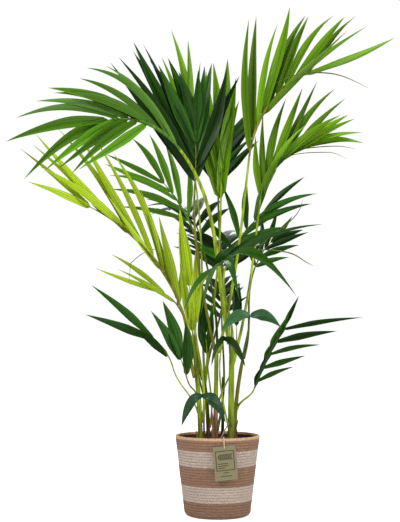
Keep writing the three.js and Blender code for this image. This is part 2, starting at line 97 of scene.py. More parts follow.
# A row's stitches are offset from the next row's by this many, and cover what is above this on
# their wave. Then how deep they cut into the relief, and how much painted shade darkens them.
STITCH_OFFSET = 0.5
STITCH_FROM = 0.9
STITCH_DEPTH = 0.5
STITCH_SHADE = 0.3
# How much the strands' twist shows in the relief and, as painted shade in its hollows, in the colour.
# Then how sharply the painted shade in the grooves between rows falls off.
TWIST_RELIEF = 0.25
GROOVE_SHARPNESS = 2
FIBRE_SCALE = 320.0
FIBRE_STRETCH = (1, 1, 1.8)
FIBRE_DETAIL = 4
FIBRE_RANGE = (0.34, 0.66)
FIBRE_RELIEF = 0.9
# Size of the patches in which the grooves' painted shade lies.
PATCH_SCALE = 70

# Soil
SOIL_TOP = 188.0
SOIL_RINGS = 26
SOIL_SPIN_STEPS = 72
SOIL_SKIRT = 14.0
# The peat's relief: its height and middle, the size of its lumps and grit, and the grit's share.
SOIL_RELIEF = 3.2
SOIL_MIDDLE = 0.5
LUMP_SIZE = 14.0
GRIT_SIZE = 5.0
GRIT_SHARE = 0.6
SOIL_SEED = 5
# Crumbs: how many, their radius, their length, width and height beside it, their tilt, how deep
# their middles lie, how far they keep from the wall, and how many are of lighter bark.
CRUMB_COUNT = 150
CRUMB_RADIUS = (1.4, 3.6)
CRUMB_LENGTH = (0.8, 1.6)
CRUMB_WIDTH = (0.5, 0.9)
CRUMB_HEIGHT = 0.5
CRUMB_TILT = 0.5
CRUMB_SINK = 1
CRUMB_MARGIN = 5
BARK_SHARE = 0.35
BARK_LIGHTER = 1.9

# Card tag on a loop of twine
TAG_THICKNESS = 1.2
TAG_CENTRE_X = 14.0
TAG_TOP_Z = 182.0
TAG_TURN = math.radians(5)
TAG_HOLE_DROP = 6.0
TAG_GAP = 0.3
TAG_SLANT = math.asin(TAG_CENTRE_X / RIM_RADIUS)
TAG_FACE = RIM_RADIUS + TAG_GAP + TAG_THICKNESS
TAG_PLACE = (
    Matrix.Rotation(TAG_SLANT, 4, "Z")
    @ Matrix.Translation((0, -TAG_FACE, TAG_TOP_Z - TAG_HOLE_DROP))
    @ Matrix.Rotation(-TAG_TURN, 4, "Y")
)
TWINE_STRAND = 0.6
TWINE_TWIST = 0.5
TWINE_PITCH = 7.0
TWINE_STEPS = 8
TWINE_SIDES = 8
# Half the twine's thickness in all, how far it stands clear inside the rim, how far it swings
# out, how far it drops before and behind the rim, and how far it leaves its line at its ends.
TWINE_RADIUS = 1.2
TWINE_CLEAR = 1.5
TWINE_SLACK = 2
TWINE_DROP = 5
TWINE_END_DROP = 8
TWINE_END_BEND = 0.9

# Print on the tag
PRINT_DEPTH = 0.12
PRINT_GAP = 0.02
PANEL_WIDTH = 44.0
PANEL_HEIGHT = 46.0
PANEL_DROP = 12.0
PANEL_MARGIN = 4
RULE_WIDTH = 1.7
# Rules in the panel and under it: how far down they are, and their share of the full width.
PANEL_RULES = ((30, 0.7), (35, 0.7), (40, 0.45))
FOOT_RULES = ((64, 0.3), (72, 0.62))
# The sprig: its pairs of leaves, its length and place, how thick its stalk is, where its first
# pair stands, and how far out, how far turned and how large half a leaf is.
SPRIG_LEAVES = 7
SPRIG_LENGTH = 34.0
SPRIG_DROP = 14.0
SPRIG_STALK = 0.7
SPRIG_START = 0.7
SPRIG_REACH = 4
SPRIG_LEAN = math.radians(40)
SPRIG_LEAF = (1.3, PRINT_DEPTH / 2, 4.8)
SPRIG_SIDES = 8
SPRIG_RINGS = 6

# Stems
STEM_SIDES = 16
STEM_RING = 3.0
STEM_SINK = 2
STEM_TOP_TAPER = 14.0
STEM_TOP_SHARE = 0.55
# Ridges along a stem, and the slanting scars of its old sheaths: how far apart they are, how
# deep, how far they slant, and how the slant's side changes with the stem's place.
STEM_RIDGES = 5
STEM_RIDGE = 0.03
SCAR_SPACING = 38.0
SCAR_DEPTH = 0.07
SCAR_SLANT = 5.0
SCAR_SHIFT = 10
# How far up and down the border between two skins wanders, and over what length.
SKIN_DRIFT = 26
SKIN_PATCH = 13
# Dry stubs at the stems' feet: how far off the stem they stand, their height and lean, and their
# radius at the foot and the end.
STUB_SEED = 17
STUB_COUNT = 15
STUB_STEPS = 6
STUB_GAP = 1.2
STUB_HEIGHT = (12, 34)
STUB_LEAN = (0.02, 0.16)
STUB_RADIUS = (2.3, 0.5)
STUB_TAPER = 1.4
# Thin shoots: their radius at the end, and how late they narrow to it.
SHOOT_SIDES = 7
SHOOT_STEPS = 8
SHOOT_END = 0.2
SHOOT_TAPER = 4

# Stalks and ribs
STALK_SIDES = 10
# The channel along a stalk's upper side: its depth and how narrow it is.
STALK_CHANNEL = 0.12
STALK_CHANNEL_POWER = 4
PETIOLE_STATIONS = 26
RIB_STATIONS = 14
PETIOLE_LEAN = math.radians(14)
PETIOLE_OFFSET = 0.8
PETIOLE_REACH = 0.38
SHEATH_SWELL = 0.35
SHEATH_LENGTH = 36.0
SEAT_GAP = 0.3
RIB_ROOT_RADIUS = 2.1
RIB_TIP_RADIUS = 1.0
# Dried leaf ends: their radius at the ends is this share of the thickest.
WISP_SIDES = 6
WISP_STEPS = 6
WISP_END = 0.15

# Leaflets
LEAF_COLUMNS = 8
LEAF_ROWS = 18
WIDTH_SHARE = (0.66, 0.98)
BLADE_FOLD = 0.75
BLADE_ARCH = (0.0, 0.05)
BLADE_BEND = 0.04
BLADE_TWIST = 0.5
BLADE_PLEAT = 0.014
BLADE_FOOT = 0.45
BLADE_FULL_AT = 0.35
BLADE_SEAT = 0.12
BLADE_SEAT_END = 0.05
BLADE_TAPER_AT = 0.4
BLADE_TAPER_POWER = 1.3
LENGTH_SPREAD = 0.16
ANGLE_SPREAD = 6
SAG_SPREAD = 0.6
LAST_LEAFLET_AT = 0.985
TRIED_TURNS = (0, 7, -7, 14, -14, 22, -22, 30)
TIP_TOLERANCE = 0.05
DRY_SHARE = 0.14
DRY_TIP_FROM = 0.95
LEAF_SHEEN = 0.16
# How wide the leaflets of some fronds are beside the others'.
WIDTHS = {
    "b": 1.2, "c": 1.15, "g": 0.85, "m": 0.78, "r": 0.72, "s": 0.7, "w": 0.85, "x": 0.75, "z": 0.8,
}
# Share of its full width that a leaflet has near its foot, where leaflets overlap along the rib.
BROAD_FEET = {"g": 0.7, "c": 0.7, "d": 0.65, "e": 0.7, "f": 0.6, "k": 0.75, "a": 0.55}
# Fronds that also have finer leaflets between those of the solids, and how long and wide these are.
FULLER_FRONDS = "vw"
FINER_LENGTH = 0.9
FINER_WIDTH = 0.72
# Shades of each leaf colour, darkest first, dealt to leaflets at random. They are partly the
# leaves' own uneven tone and, spread this far apart, partly painted shade and painted highlight.
# A frond's leaflets have three of them: the first three, or the last three in the lighter fronds.
SHADES = (-1, 0, 1, 2)
DARKER_SHADES = (0, 1, 2)
LIGHTER_SHADES = (1, 2, 3)
LIGHTER_FRONDS = "mljekn"
# How far apart the shades are beside the spread in the panel, where that isn't 1.
SPREAD_SHARES = {"lime": 0.5, "bright": 0.75, "mid": 0.7, "dark": 1.15}

# Stems: foot and top in the basket's frame, then foot and top radius.
STEMS = {
    "a": dict(foot=(-43, -12), top=(-53, -12, 352), radius=(6.5, 5.5)),
    "b": dict(foot=(-23, 16), top=(-34, 20, 338), radius=(5.5, 4.8)),
    "c": dict(foot=(-5, -14), top=(-2, -10, 415), radius=(6.2, 5)),
    "d": dict(foot=(34, -18), top=(37, -20, 432), radius=(8.5, 6.5)),
    "e": dict(foot=(44, 16), top=(66, 22, 392), radius=(5.5, 4.5)),
}

# Fronds. stem, at, side: the stem, and the height and compass side that the stalk leaves by.
# thick: stalk radius at its foot and its end. base, heading, rise, fall, rib: the rib's foot,
# its compass heading, its first and last slope and its length. roll: the blade's turn about
# the rib. leaf: length of the first, middle and last leaflets. twist: how far a leaflet has
# turned about its own line at its tip, where it does. left, right: how many leaflets that side
# has, where they start on the rib, their first and last angle to it, the share of their length
# that they sag by, and how long they are beside leaf, where that isn't 1.
FRONDS = {
    "a": dict(stem="d", at=428, side=190, thick=(4.6, 2.8), base=(-94, -60, 915), heading=221,
              rise=42, fall=-20, rib=239, roll=-73, leaf=(322, 282, 262), width=30,
              left=(5, 0.5, 39, 3, 0.21, 0.97), right=(8, 0.05, 14, 17, 0.26, 1.05),
              lift=8, tone="mid", seed=11),
    "b": dict(stem="c", at=412, side=170, thick=(4, 2.6), base=(-57, 10, 838), heading=80,
              rise=73, fall=104, rib=145, roll=37, leaf=(396, 318, 168), width=32,
              left=(10, 0.04, 43, 14, 0.1), right=(5, 0.06, 20, 3, 0.03, 0.85),
              lift=10, tone="dark", seed=12),
    "c": dict(stem="c", at=405, side=20, thick=(4.2, 2.8), base=(82, -10, 905), heading=19,
              rise=83, fall=26, rib=292, roll=39, leaf=(400, 373, 388), width=25,
              left=(9, 0.04, 10, 30, 0.13), right=(3, 0.4, 19, 2, 0.02, 0.78),
              lift=6, tone="bright", seed=13),
    "d": dict(stem="d", at=385, side=10, thick=(4, 2.5), base=(112, 30, 801), heading=352,
              rise=83, fall=17, rib=186, roll=60, leaf=(150, 250, 145), width=29,
              left=(8, 0.05, 19, 24, 0.07), right=(6, 0.04, 13, 3, 0.27, 1.06),
              lift=6, tone="bright", seed=14),
    "e": dict(stem="b", at=336, side=20, thick=(3.6, 2.4), base=(11, 72, 800), heading=85,
              rise=82, fall=78, rib=150, roll=0, leaf=(270, 290, 270), width=36,
              left=(3, 0.05, 11, 3, 0.02), right=(3, 0.1, 11, 3, 0.02), lift=4, tone="bright", seed=15),
    "f": dict(stem="b", at=300, side=85, thick=(3.4, 2.2), base=(-52, 80, 824), heading=121,
              rise=77, fall=82, rib=195, roll=0, leaf=(220, 260, 270), width=27,
              left=(3, 0.2, 22, 6, 0.04), right=(3, 0.3, 18, 4, 0.04), lift=6, tone="bright", seed=16),
    "g": dict(stem="a", at=344, side=200, thick=(4.2, 2.8), base=(-92, -40, 520), heading=198,
              rise=68, fall=24, rib=350, roll=-60, leaf=(225, 345, 210), width=32,
              left=(3, 0.3, 5, 3, 0.02, 0.8), right=(9, 0.04, 15, 18, 0.03),
              lift=6, tone="lime", seed=17),
    "h": dict(stem="b", at=290, side=190, thick=(2.8, 2), base=(-98, 20, 520), heading=151,
              rise=55, fall=28, rib=56, roll=-40, leaf=(150, 210, 205), width=22,
              left=(2, 0.3, 20, 8, 0.05), right=(2, 0.1, 34, 10, 0.05), lift=4, tone="lime", seed=18),
    "i": dict(stem="a", at=255, side=190, thick=(2.2, 1.6), base=(-112, -35, 370), heading=198,
              rise=74, fall=36, rib=85, roll=-60, leaf=(140, 165, 190), width=32,
              left=(2, 0.35, 30, 16, 0.06), right=(1, 1, 4, 4, 0.02, 1.15),
              lift=6, tone="dark", seed=19),
    "j": dict(stem="a", at=290, side=235, thick=(2.2, 1.8), base=(-76, -75, 344), heading=215,
              rise=72, fall=66, rib=50, roll=-75, leaf=(165, 165, 165), width=40,
              left=(1, 0.7, 12, 12, 0.03), right=(2, 0.15, 20, 4, 0.03, 0.9),
              lift=4, tone="dark", seed=20),
    "k": dict(stem="a", at=352, side=90, thick=(3.2, 2.6), base=(-62, -5, 446), heading=180,
              rise=88, fall=84, rib=130, roll=-90, leaf=(190, 215, 210), width=32,
              left=(2, 0.1, 7, 2, 0.01), right=(2, 0.2, 5, 2, 0.01), lift=4, tone="lime", seed=21),
    "l": dict(stem="a", at=231, side=0, thick=(3.4, 2.6), base=(-24, -75, 600), heading=325,
              rise=44, fall=24, rib=75, roll=25, leaf=(84, 190, 290), width=35, twist=60,
              left=(4, 0.1, 34, 4, 0.2), right=(5, 0.05, 132, 24, 0.5), lift=6, tone="dark", seed=22),
    "m": dict(stem="d", at=430, side=80, thick=(3.4, 2.4), base=(26, 36, 636), heading=15,
              rise=68, fall=38, rib=170, roll=50, leaf=(120, 190, 185), width=30,
              left=(6, 0.04, 74, 10, 0.14), right=(6, 0.04, 34, 8, 0.2), lift=6, tone="dark", seed=23),
    "n": dict(stem="e", at=385, side=250, thick=(2.2, 1.7), base=(79, -30, 478), heading=278,
              rise=58, fall=50, rib=24, roll=0, leaf=(95, 95, 95), width=34, twist=100,
              left=(1, 1, 68, 68, 0.7, 0.85), right=(1, 1, 70, 70, 0.75, 0.88),
              lift=0, tone="blue", seed=24),
    "o": dict(stem="e", at=262, side=330, thick=(2.8, 2), base=(93, -20, 318), heading=0,
              rise=70, fall=58, rib=165, roll=80, leaf=(100, 125, 200), width=19,
              left=(6, 0.03, 5, 4, 0.02, 0.5), right=(5, 0.1, 46, 50, 0.06),
              lift=6, tone="dark", seed=25),
    "p": dict(stem="a", at=240, side=270, thick=(2, 1.5), base=(-44, -60, 286), heading=284,
              rise=50, fall=34, rib=20, roll=0, leaf=(62, 62, 62), width=36, twist=120,
              left=(1, 1, 62, 62, 1.2), right=(1, 1, 66, 66, 1.5), lift=0, tone="blue", seed=26),
    "q": dict(stem="d", at=214, side=195, thick=(2.6, 1.8), base=(11, -40, 426), heading=287,
              rise=56, fall=30, rib=20, roll=0, leaf=(62, 62, 62), width=36, twist=120,
              left=(1, 1, 42, 42, 1.7), right=(1, 1, 46, 46, 1.6), lift=0, tone="dark", seed=27),
    "r": dict(stem="b", at=336, side=150, thick=(3.4, 2.3), base=(-70, 90, 745), heading=149,
              rise=62, fall=45, rib=140, roll=-60, leaf=(190, 235, 210), width=30,
              left=(5, 0.05, 44, 12, 0.16), right=(4, 0.1, 26, 8, 0.14), lift=6, tone="mid", seed=28),
    "s": dict(stem="e", at=390, side=60, thick=(3.2, 2.1), base=(98, 60, 622), heading=35,
              rise=66, fall=40, rib=92, roll=60, leaf=(100, 135, 125), width=28,
              left=(4, 0.08, 34, 6, 0.08), right=(4, 0.07, 44, 16, 0.14), lift=6, tone="dark", seed=29),
    "t": dict(stem="c", at=270, side=15, thick=(2.6, 1.8), base=(49, 12, 416), heading=0,
              rise=88, fall=92, rib=58, roll=90, leaf=(115, 115, 115), width=25,
              left=(1, 1, 4, 4, 0), right=(1, 0.5, 5, 5, 0), lift=2, tone="blue", seed=30),
    "v": dict(stem="d", at=405, side=115, thick=(4, 2.5), base=(5, 130, 830), heading=90,
              rise=76, fall=26, rib=230, roll=0, leaf=(210, 250, 220), width=31,
              left=(7, 0.07, 34, 10, 0.2), right=(7, 0.12, 34, 10, 0.2), lift=14, tone="dark", seed=31),
    "w": dict(stem="b", at=262, side=110, thick=(3.6, 2.4), base=(20, 140, 600), heading=95,
              rise=62, fall=8, rib=210, roll=0, leaf=(160, 200, 180), width=30,
              left=(7, 0.07, 48, 12, 0.22), right=(7, 0.12, 48, 12, 0.22),
              lift=12, tone="dark", seed=32),
    "x": dict(stem="c", at=211, side=0, thick=(3.4, 2.2), base=(14, 120, 486), heading=92,
              rise=66, fall=20, rib=150, roll=0, leaf=(90, 120, 125), width=28,
              left=(6, 0.07, 44, 12, 0.2), right=(6, 0.12, 44, 12, 0.2), lift=12, tone="dark", seed=33),
    "y": dict(stem="b", at=216, side=345, thick=(2.8, 1.8), base=(-26, 4, 396), heading=160,
              rise=88, fall=84, rib=60, roll=-90, leaf=(120, 135, 130), width=28,
              left=(2, 0.1, 10, 4, 0.02), right=(2, 0.2, 8, 3, 0.02), lift=4, tone="dark", seed=34),
    "z": dict(stem="c", at=370, side=80, thick=(3.6, 2.4), base=(-40, 150, 700), heading=112,
              rise=60, fall=10, rib=200, roll=0, leaf=(170, 210, 190), width=30,
              left=(6, 0.07, 42, 12, 0.22), right=(6, 0.12, 42, 12, 0.22),
              lift=12, tone="dark", seed=35),
}

# Colour of each frond's stalk, where it isn't green, and of its rib, where it isn't the stalk's.
# Then how much thicker than in the solids some ribs are, which have the folded feet of their
# leaflets close along them, and some stalks.
STALK_TONES = {
    "b": "olive", "g": "olive", "h": "olive", "j": "olive", "n": "brown", "r": "olive",
    "s": "brown", "v": "brown", "w": "brown", "x": "brown", "z": "brown",
}
RIB_TONES = {
    "a": "leaf", "c": "olive", "d": "leaf", "g": "olive", "h": "olive", "o": "dark", "m": "brown",
    "l": "brown", "r": "leaf",
}
RIB_SWELL = {"a": 3.0, "c": 2.2, "d": 2.0, "g": 2.2, "o": 2.6, "r": 1.8}
STALK_SWELL = {"a": 1.35, "g": 1.2, "k": 1.2}


def srgb(red, green, blue):
    """A colour given as 0 to 255 in sRGB, as linear values."""
    def linear(value):
        value /= 255
        return value / 12.92 if value <= 0.04045 else ((value + 0.055) / 1.055) ** 2.4
    return tuple(linear(value) for value in (red, green, blue))


def colour_property(name, description, default):
    """A colour that a user can change in the panel."""
    return FloatVectorProperty(
        name=name, description=description, subtype="COLOR", size=3, min=0, max=1, default=default,
    )


class PALM_PG_basket(PropertyGroup):
    """Sizes and colours of the basket, its soil and its tag."""

    rope_groove: FloatProperty(
        name="Rope Groove", description="Depth between two rows of rope",
        default=1.3 * MM, min=0, max=3 * MM, unit="LENGTH", precision=4,
    )
    brown: colour_property("Brown Rope", "Colour of the brown bands", srgb(132, 102, 82))
    foot: colour_property("Foot Rope", "Colour of the band at the foot", srgb(126, 97, 78))
    cream: colour_property("Cream Rope", "Colour of the cream bands", srgb(169, 153, 141))
    rim: colour_property("Rim", "Colour of the rim", srgb(186, 152, 120))
    # The inside colour is painted shade inside the basket, darker than the rope outside.
    inside: colour_property("Inside", "Colour of the basket's inside", srgb(58, 44, 34))
    soil: colour_property("Soil", "Colour of the moist peat", srgb(38, 27, 21))
    card: colour_property("Card", "Colour of the tag", srgb(120, 113, 86))
    ink: colour_property("Ink", "Colour of the ruled lines on the tag", srgb(50, 48, 32))
    twine: colour_property("Twine", "Colour of the tag's twine", srgb(214, 190, 150))


class PALM_PG_plant(PropertyGroup):
    """Colours of the stems and leaves."""

    mid: colour_property("Mid Leaf", "Leaf colour of the left fronds", srgb(78, 124, 24))
    bright: colour_property("Bright Leaf", "Leaf colour of the young fronds", srgb(90, 130, 14))
    dark: colour_property("Dark Leaf", "Leaf colour of the old fronds", srgb(31, 66, 10))
    lime: colour_property("Lime Leaf", "Leaf colour of the lit fronds", srgb(142, 166, 30))
    blue: colour_property("Blue Leaf", "Leaf colour of the small bluish fronds", srgb(42, 80, 44))
    stalk: colour_property("Stalk", "Colour of the green stalks", srgb(138, 162, 18))
    olive: colour_property("Olive Stalk", "Colour of the olive stalks", srgb(112, 112, 22))
    brown: colour_property("Brown Stalk", "Colour of the brownish stalks", srgb(84, 98, 26))
    sheath: colour_property("Sheath", "Colour of the dry sheaths", srgb(128, 92, 66))
    twig: colour_property("Twig", "Colour of the dry shoots", srgb(170, 132, 108))
    dry: colour_property("Dry Tip", "Colour of the dry leaf tips", srgb(150, 122, 72))
    # How far apart the leaflet shades are: uneven tone, widened into painted shade and highlight.
    shade_spread: FloatProperty(
        name="Shade Spread", description="How much leaflets differ in brightness",
        default=0.42, min=0, max=0.6, subtype="FACTOR",
    )


class PALM_PG_stage(PropertyGroup):
    """Camera, light and floor."""

    lens: FloatProperty(
        name="Lens", description="Focal length on the picture's long side",
        default=73.17, min=20, max=200, unit="CAMERA",
    )
    camera_pitch: FloatProperty(
        name="Camera Pitch", description="How far the camera looks up",
        default=math.radians(4), subtype="ANGLE",
    )
    sky: FloatProperty(
        name="Sky", description="Brightness of the background",
        default=1.0, min=0, max=3,
    )
    sky_light: FloatProperty(
        name="Sky Light", description="Strength of the even light from all round",
        default=0.45, min=0, max=3,
    )
    key_power: FloatProperty(
        name="Key Power", description="Power of the large soft light at the front left",
        default=112, min=0, max=1000, unit="POWER",
    )
    fill_power: FloatProperty(
        name="Fill Power", description="Power of the soft lights at the right and behind",
        default=70, min=0, max=1000, unit="POWER",
    )


def settings(name):
    """A property group of the scene."""
    return getattr(bpy.context.scene, f"palm_{name}")


# Shader node groups

MOTTLE_RANGE = (0.32, 0.68)
VEIN_DRIFT = 5
VEIN_SHARPNESS = 3


def set_inputs(tree, node, inputs):
    """Sets a node's inputs to values, or links them to other nodes' outputs."""
    for label, value in inputs.items():
        if isinstance(value, bpy.types.NodeSocket):
            tree.links.new(value, node.inputs[label])
        else:
            node.inputs[label].default_value = value


def add_node(tree, kind, inputs=None, **options):
    """A shader node with its options and inputs set."""
    node = tree.nodes.new(f"ShaderNode{kind}")
    for name, value in options.items():
        setattr(node, name, value)
    set_inputs(tree, node, inputs or {})
    return node


def add_math(tree, operation, *values, clamp=False):
    """The output of a math node, whose values are numbers or other nodes' outputs."""
    inputs = dict(enumerate(values))
    return add_node(tree, "Math", inputs, operation=operation, use_clamp=clamp).outputs[0]


def add_sine(tree, turns):
    """A sine that is once round for each turn."""
    return add_math(tree, "SINE", add_math(tree, "MULTIPLY", turns, 2 * math.pi))


def add_wave(tree, turns):
    """The same from 0 to 1."""
    return add_math(tree, "MULTIPLY_ADD", add_sine(tree, turns), 0.5, 0.5)


def add_range(tree, value, start, end, **target):
    """Carries what lies from start to end to 0 to 1, or to another range."""
    inputs = {"Value": value, "From Min": start, "From Max": end}
    inputs.update({f"To {label.title()}": limit for label, limit in target.items()})
    return add_node(tree, "MapRange", inputs).outputs["Result"]


def add_noise(tree, place, scale, **inputs):
    """The output of a noise texture."""
    inputs = {label.title(): value for label, value in inputs.items()}
    return add_node(tree, "TexNoise", {"Vector": place, "Scale": scale, **inputs}).outputs["Fac"]


def add_socket(tree, name, direction, kind, default=None):
    """Adds an input or output to a node group."""
    socket = tree.interface.new_socket(name=name, in_out=direction, socket_type=kind)
    if default is not None:
        socket.default_value = default


def new_group(name, inputs):
    """A node group that takes a Vector and numbers, and puts out a Mask and a Height. Gives the
    group and what it takes in."""
    tree = bpy.data.node_groups.new(name, "ShaderNodeTree")
    add_socket(tree, "Vector", "INPUT", "NodeSocketVector")
    for label, default in inputs.items():
        add_socket(tree, label, "INPUT", "NodeSocketFloat", default)
    for label in ("Mask", "Height"):
        add_socket(tree, label, "OUTPUT", "NodeSocketFloat")
    return tree, tree.nodes.new("NodeGroupInput").outputs


def close_group(tree, mask, height):
    """Links what a node group puts out."""
    set_inputs(tree, tree.nodes.new("NodeGroupOutput"), {"Mask": mask, "Height": height})
    return tree


def make_mottle_group():
    """Soft blotches with a finer grain in them."""
    tree, given = new_group("Mottle", {"Scale": 40.0, "Detail": 3.0})
    cloud = add_noise(tree, given["Vector"], given["Scale"], detail=given["Detail"])
    return close_group(tree, add_range(tree, cloud, *MOTTLE_RANGE), cloud)


def make_vein_and_highlight_group():
    """Fine lighter lines along a blade, a little uneven: partly the leaf's veins, partly painted
    highlight streaks. Vector's X runs across them.
    """
    tree, given = new_group("Parallel Veins", {"Lines": 12.0, "Wander": 0.6})
    split = add_node(tree, "SeparateXYZ", {"Vector": given["Vector"]}).outputs
    drift = add_noise(tree, given["Vector"], VEIN_DRIFT)
    across = add_math(tree, "MULTIPLY", split["X"], given["Lines"])
    wander = add_math(tree, "MULTIPLY", drift, given["Wander"])
    height = add_wave(tree, add_math(tree, "ADD", across, wander))
    return close_group(tree, add_math(tree, "POWER", height, VEIN_SHARPNESS), height)


def make_rope_group():
    """Twisted strands of a rope coiled about +Z, with grooves between its rows and the stitches
    that hold them. Its mask puts painted shade in the hollows of the strands, in patches in the
    grooves between rows, and at the stitches, over the fibres' own uneven tone."""
    tree, given = new_group(
        "Rope Twist", {"Strands": ROPE_STRANDS, "Row Height": 0.00667, "Fibre": FIBRE_SCALE},
    )
    split = add_node(tree, "SeparateXYZ", {"Vector": given["Vector"]}).outputs
    angle = add_math(tree, "ARCTAN2", split["Y"], split["X"])
    turns = add_math(tree, "DIVIDE", angle, 2 * math.pi)
    level = add_math(tree, "DIVIDE", split["Z"], given["Row Height"])
    around = add_math(tree, "MULTIPLY", turns, given["Strands"])
    strand = add_wave(tree, add_math(tree, "ADD", around, level))
    shift = add_math(tree, "MULTIPLY", add_math(tree, "FLOOR", level), STITCH_OFFSET)
    stitch_wave = add_sine(tree, add_math(tree, "MULTIPLY_ADD", turns, STITCHES, shift))
    stitch = add_math(tree, "GREATER_THAN", stitch_wave, STITCH_FROM)
    stretched = add_node(
        tree, "VectorMath", {0: given["Vector"], 1: FIBRE_STRETCH}, operation="MULTIPLY",
    ).outputs["Vector"]
    fibre = add_noise(tree, stretched, given["Fibre"], detail=FIBRE_DETAIL)
    rough = add_range(tree, fibre, *FIBRE_RANGE, max=FIBRE_RELIEF)
    body = add_math(tree, "ADD", add_math(tree, "MULTIPLY", strand, TWIST_RELIEF), rough)
    height = add_math(tree, "SUBTRACT", body, add_math(tree, "MULTIPLY", stitch, STITCH_DEPTH))
    # Painted shade in the grooves between rows, varying in patches.
    crown = add_math(tree, "SINE", add_math(tree, "MULTIPLY", level, math.pi))
    hollow = add_math(tree, "SUBTRACT", 1, add_math(tree, "ABSOLUTE", crown))
    groove = add_math(tree, "POWER", hollow, GROOVE_SHARPNESS)
    depth = add_math(tree, "MULTIPLY", groove, add_noise(tree, given["Vector"], PATCH_SCALE))
    # Painted shade at the stitches.
    stitch_shaded = add_math(tree, "SUBTRACT", body, add_math(tree, "MULTIPLY", stitch, STITCH_SHADE))
    return close_group(tree, add_math(tree, "SUBTRACT", stitch_shaded, depth, clamp=True), height)


GROUP_MAKERS = {
    "Mottle": make_mottle_group,
    "Parallel Veins": make_vein_and_highlight_group,
    "Rope Twist": make_rope_group,
}


def group_tree(name):
    """A node group, built the first time that it is asked for."""
    return bpy.data.node_groups.get(name) or GROUP_MAKERS[name]()


# Materials

ROPE_TONES = (0.6, 1.4)
# Leaf tones off and on the fine lines, which are partly painted highlight streaks.
LEAF_TONES = (0.86, 1.5)
LIMB_TONES = (0.42, 1.2)
# Mottled surfaces: scale of the blotches, their contrast, the roughness of the dark and the light
# ones, and the strength and the depth in metres of the relief.
MOTTLES = {
    "floor_paint": (3, 0.01, (1, 0.95), (0, 0.001)),
    "peat": (260, 0.45, (1, 0.9), (0.9, 0.002)),
    "peat_bark": (200, 0.3, (0.95, 0.85), (0.6, 0.001)),
    "tag_card": (700, 0.08, (0.9, 0.8), (0.25, 0.0003)),
    "tag_ink": (500, 0.12, (0.85, 0.75), (0.1, 0.0002)),
    "twine_strands": (900, 0.15, (0.95, 0.85), (0.5, 0.0004)),
    "leaf_dry_tip": (300, 0.2, (0.8, 0.7), (0.2, 0.0003)),
}


def scaled(colour, factor):
    """A colour made lighter or darker."""
    return tuple(min(1, value * factor) for value in colour)


def make_material(
    name, colour, tones, group, coordinate, values, rough, bump, stretch=(1, 1, 1), sheen=0.2,
):
    """A material that goes from the first tone of a colour to the second, and from the first
    roughness to the second, by a node group's mask, with a bump of that strength and depth from
    its height. sheen is how much its smooth surface reflects."""
    material = bpy.data.materials.new(name)
    material.use_nodes = True
    tree = material.node_tree
    place = add_node(tree, "TexCoord").outputs[coordinate]
    mapping = add_node(tree, "Mapping", {"Vector": place, "Scale": stretch}).outputs["Vector"]
    pattern = add_node(tree, "Group", {"Vector": mapping, **values}, node_tree=group_tree(group))
    mask = pattern.outputs["Mask"]
    low, high = ((*scaled(colour, tone), 1) for tone in tones)
    mix = add_node(tree, "Mix", {"Factor": mask, "A": low, "B": high}, data_type="RGBA")
    gloss = add_node(tree, "MapRange", {"Value": mask, "To Min": rough[0], "To Max": rough[1]})
    relief = add_node(tree, "Bump", {
        "Height": pattern.outputs["Height"], "Strength": bump[0], "Distance": bump[1],
    })
    set_inputs(tree, tree.nodes["Principled BSDF"], {
        "Base Color": mix.outputs["Result"],
        "Roughness": gloss.outputs["Result"],
        "Normal": relief.outputs["Normal"],
        "Specular IOR Level": sheen,
    })
    return material


def rope_material(name, colour):
    """Jute rope, with painted shade in the hollows of its strands, in the grooves between its rows
    and at its stitches.
    """
    return make_material(
        name, colour, ROPE_TONES, "Rope Twist", "Object",
        {"Row Height": BASKET_HEIGHT * MM / rope_rows()}, rough=(0.95, 0.85), bump=(0.6, 0.0012),
    )


def mottled_material(name, colour, sheen=0.2):
    """A matte surface with soft blotches."""
    scale, contrast, rough, bump = MOTTLES[name]
    return make_material(
        name, colour, (1 - contrast, 1 + contrast), "Mottle", "Object",
        {"Scale": scale}, rough, bump, sheen=sheen,
    )


def leaf_material(name, colour, factor):
    """A pleated leaf with fine lighter lines, partly veins and partly painted highlight streaks."""
    return make_material(
        name, colour, [factor * tone for tone in LEAF_TONES], "Parallel Veins", "UV",
        {"Lines": 6, "Wander": 0.15}, rough=(0.38, 0.28), bump=(0.1, 0.0003), sheen=LEAF_SHEEN,
    )


def stalk_material(name, colour):
    """A smooth stalk or sheath, streaked along its length."""
    return make_material(
        name, colour, LIMB_TONES, "Mottle", "Object",
        {"Scale": 150.0}, rough=(0.5, 0.38), bump=(0.2, 0.0006), stretch=(1, 1, 0.1),
    )


# Shared mesh work

def new_mesh():
    """An empty bmesh with a UV map."""
    bm = bmesh.new()
    bm.loops.layers.uv.new("UVMap")
    return bm


def add_object(name, data):
    """Puts an object in the scene."""
    item = bpy.data.objects.new(name, data)
    bpy.context.scene.collection.objects.link(item)
    return item


def add_mesh(bm, name, materials):
    """Turns a bmesh into an object with some materials."""
    mesh = bpy.data.meshes.new(name)
    bm.to_mesh(mesh)
    bm.free()
    for material in materials:
        mesh.materials.append(material)
    return add_object(name, mesh)


def finish_piece(bm, name, materials, replaced, smooth=True):
    """Turns a bmesh in millimetres into a piece that stands for some nodes."""
    bmesh.ops.scale(bm, vec=(MM, MM, MM), verts=bm.verts)
    for face in bm.faces:
        face.smooth = smooth
    piece = add_mesh(bm, name, materials)
    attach(piece, "root")
    if replaced:
        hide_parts(*replaced)
    return piece


def clean_up(bm, distance):
    """Merges doubles and turns the faces outwards."""
    bmesh.ops.remove_doubles(bm, verts=bm.verts, dist=distance)
    bmesh.ops.recalc_face_normals(bm, faces=bm.faces)


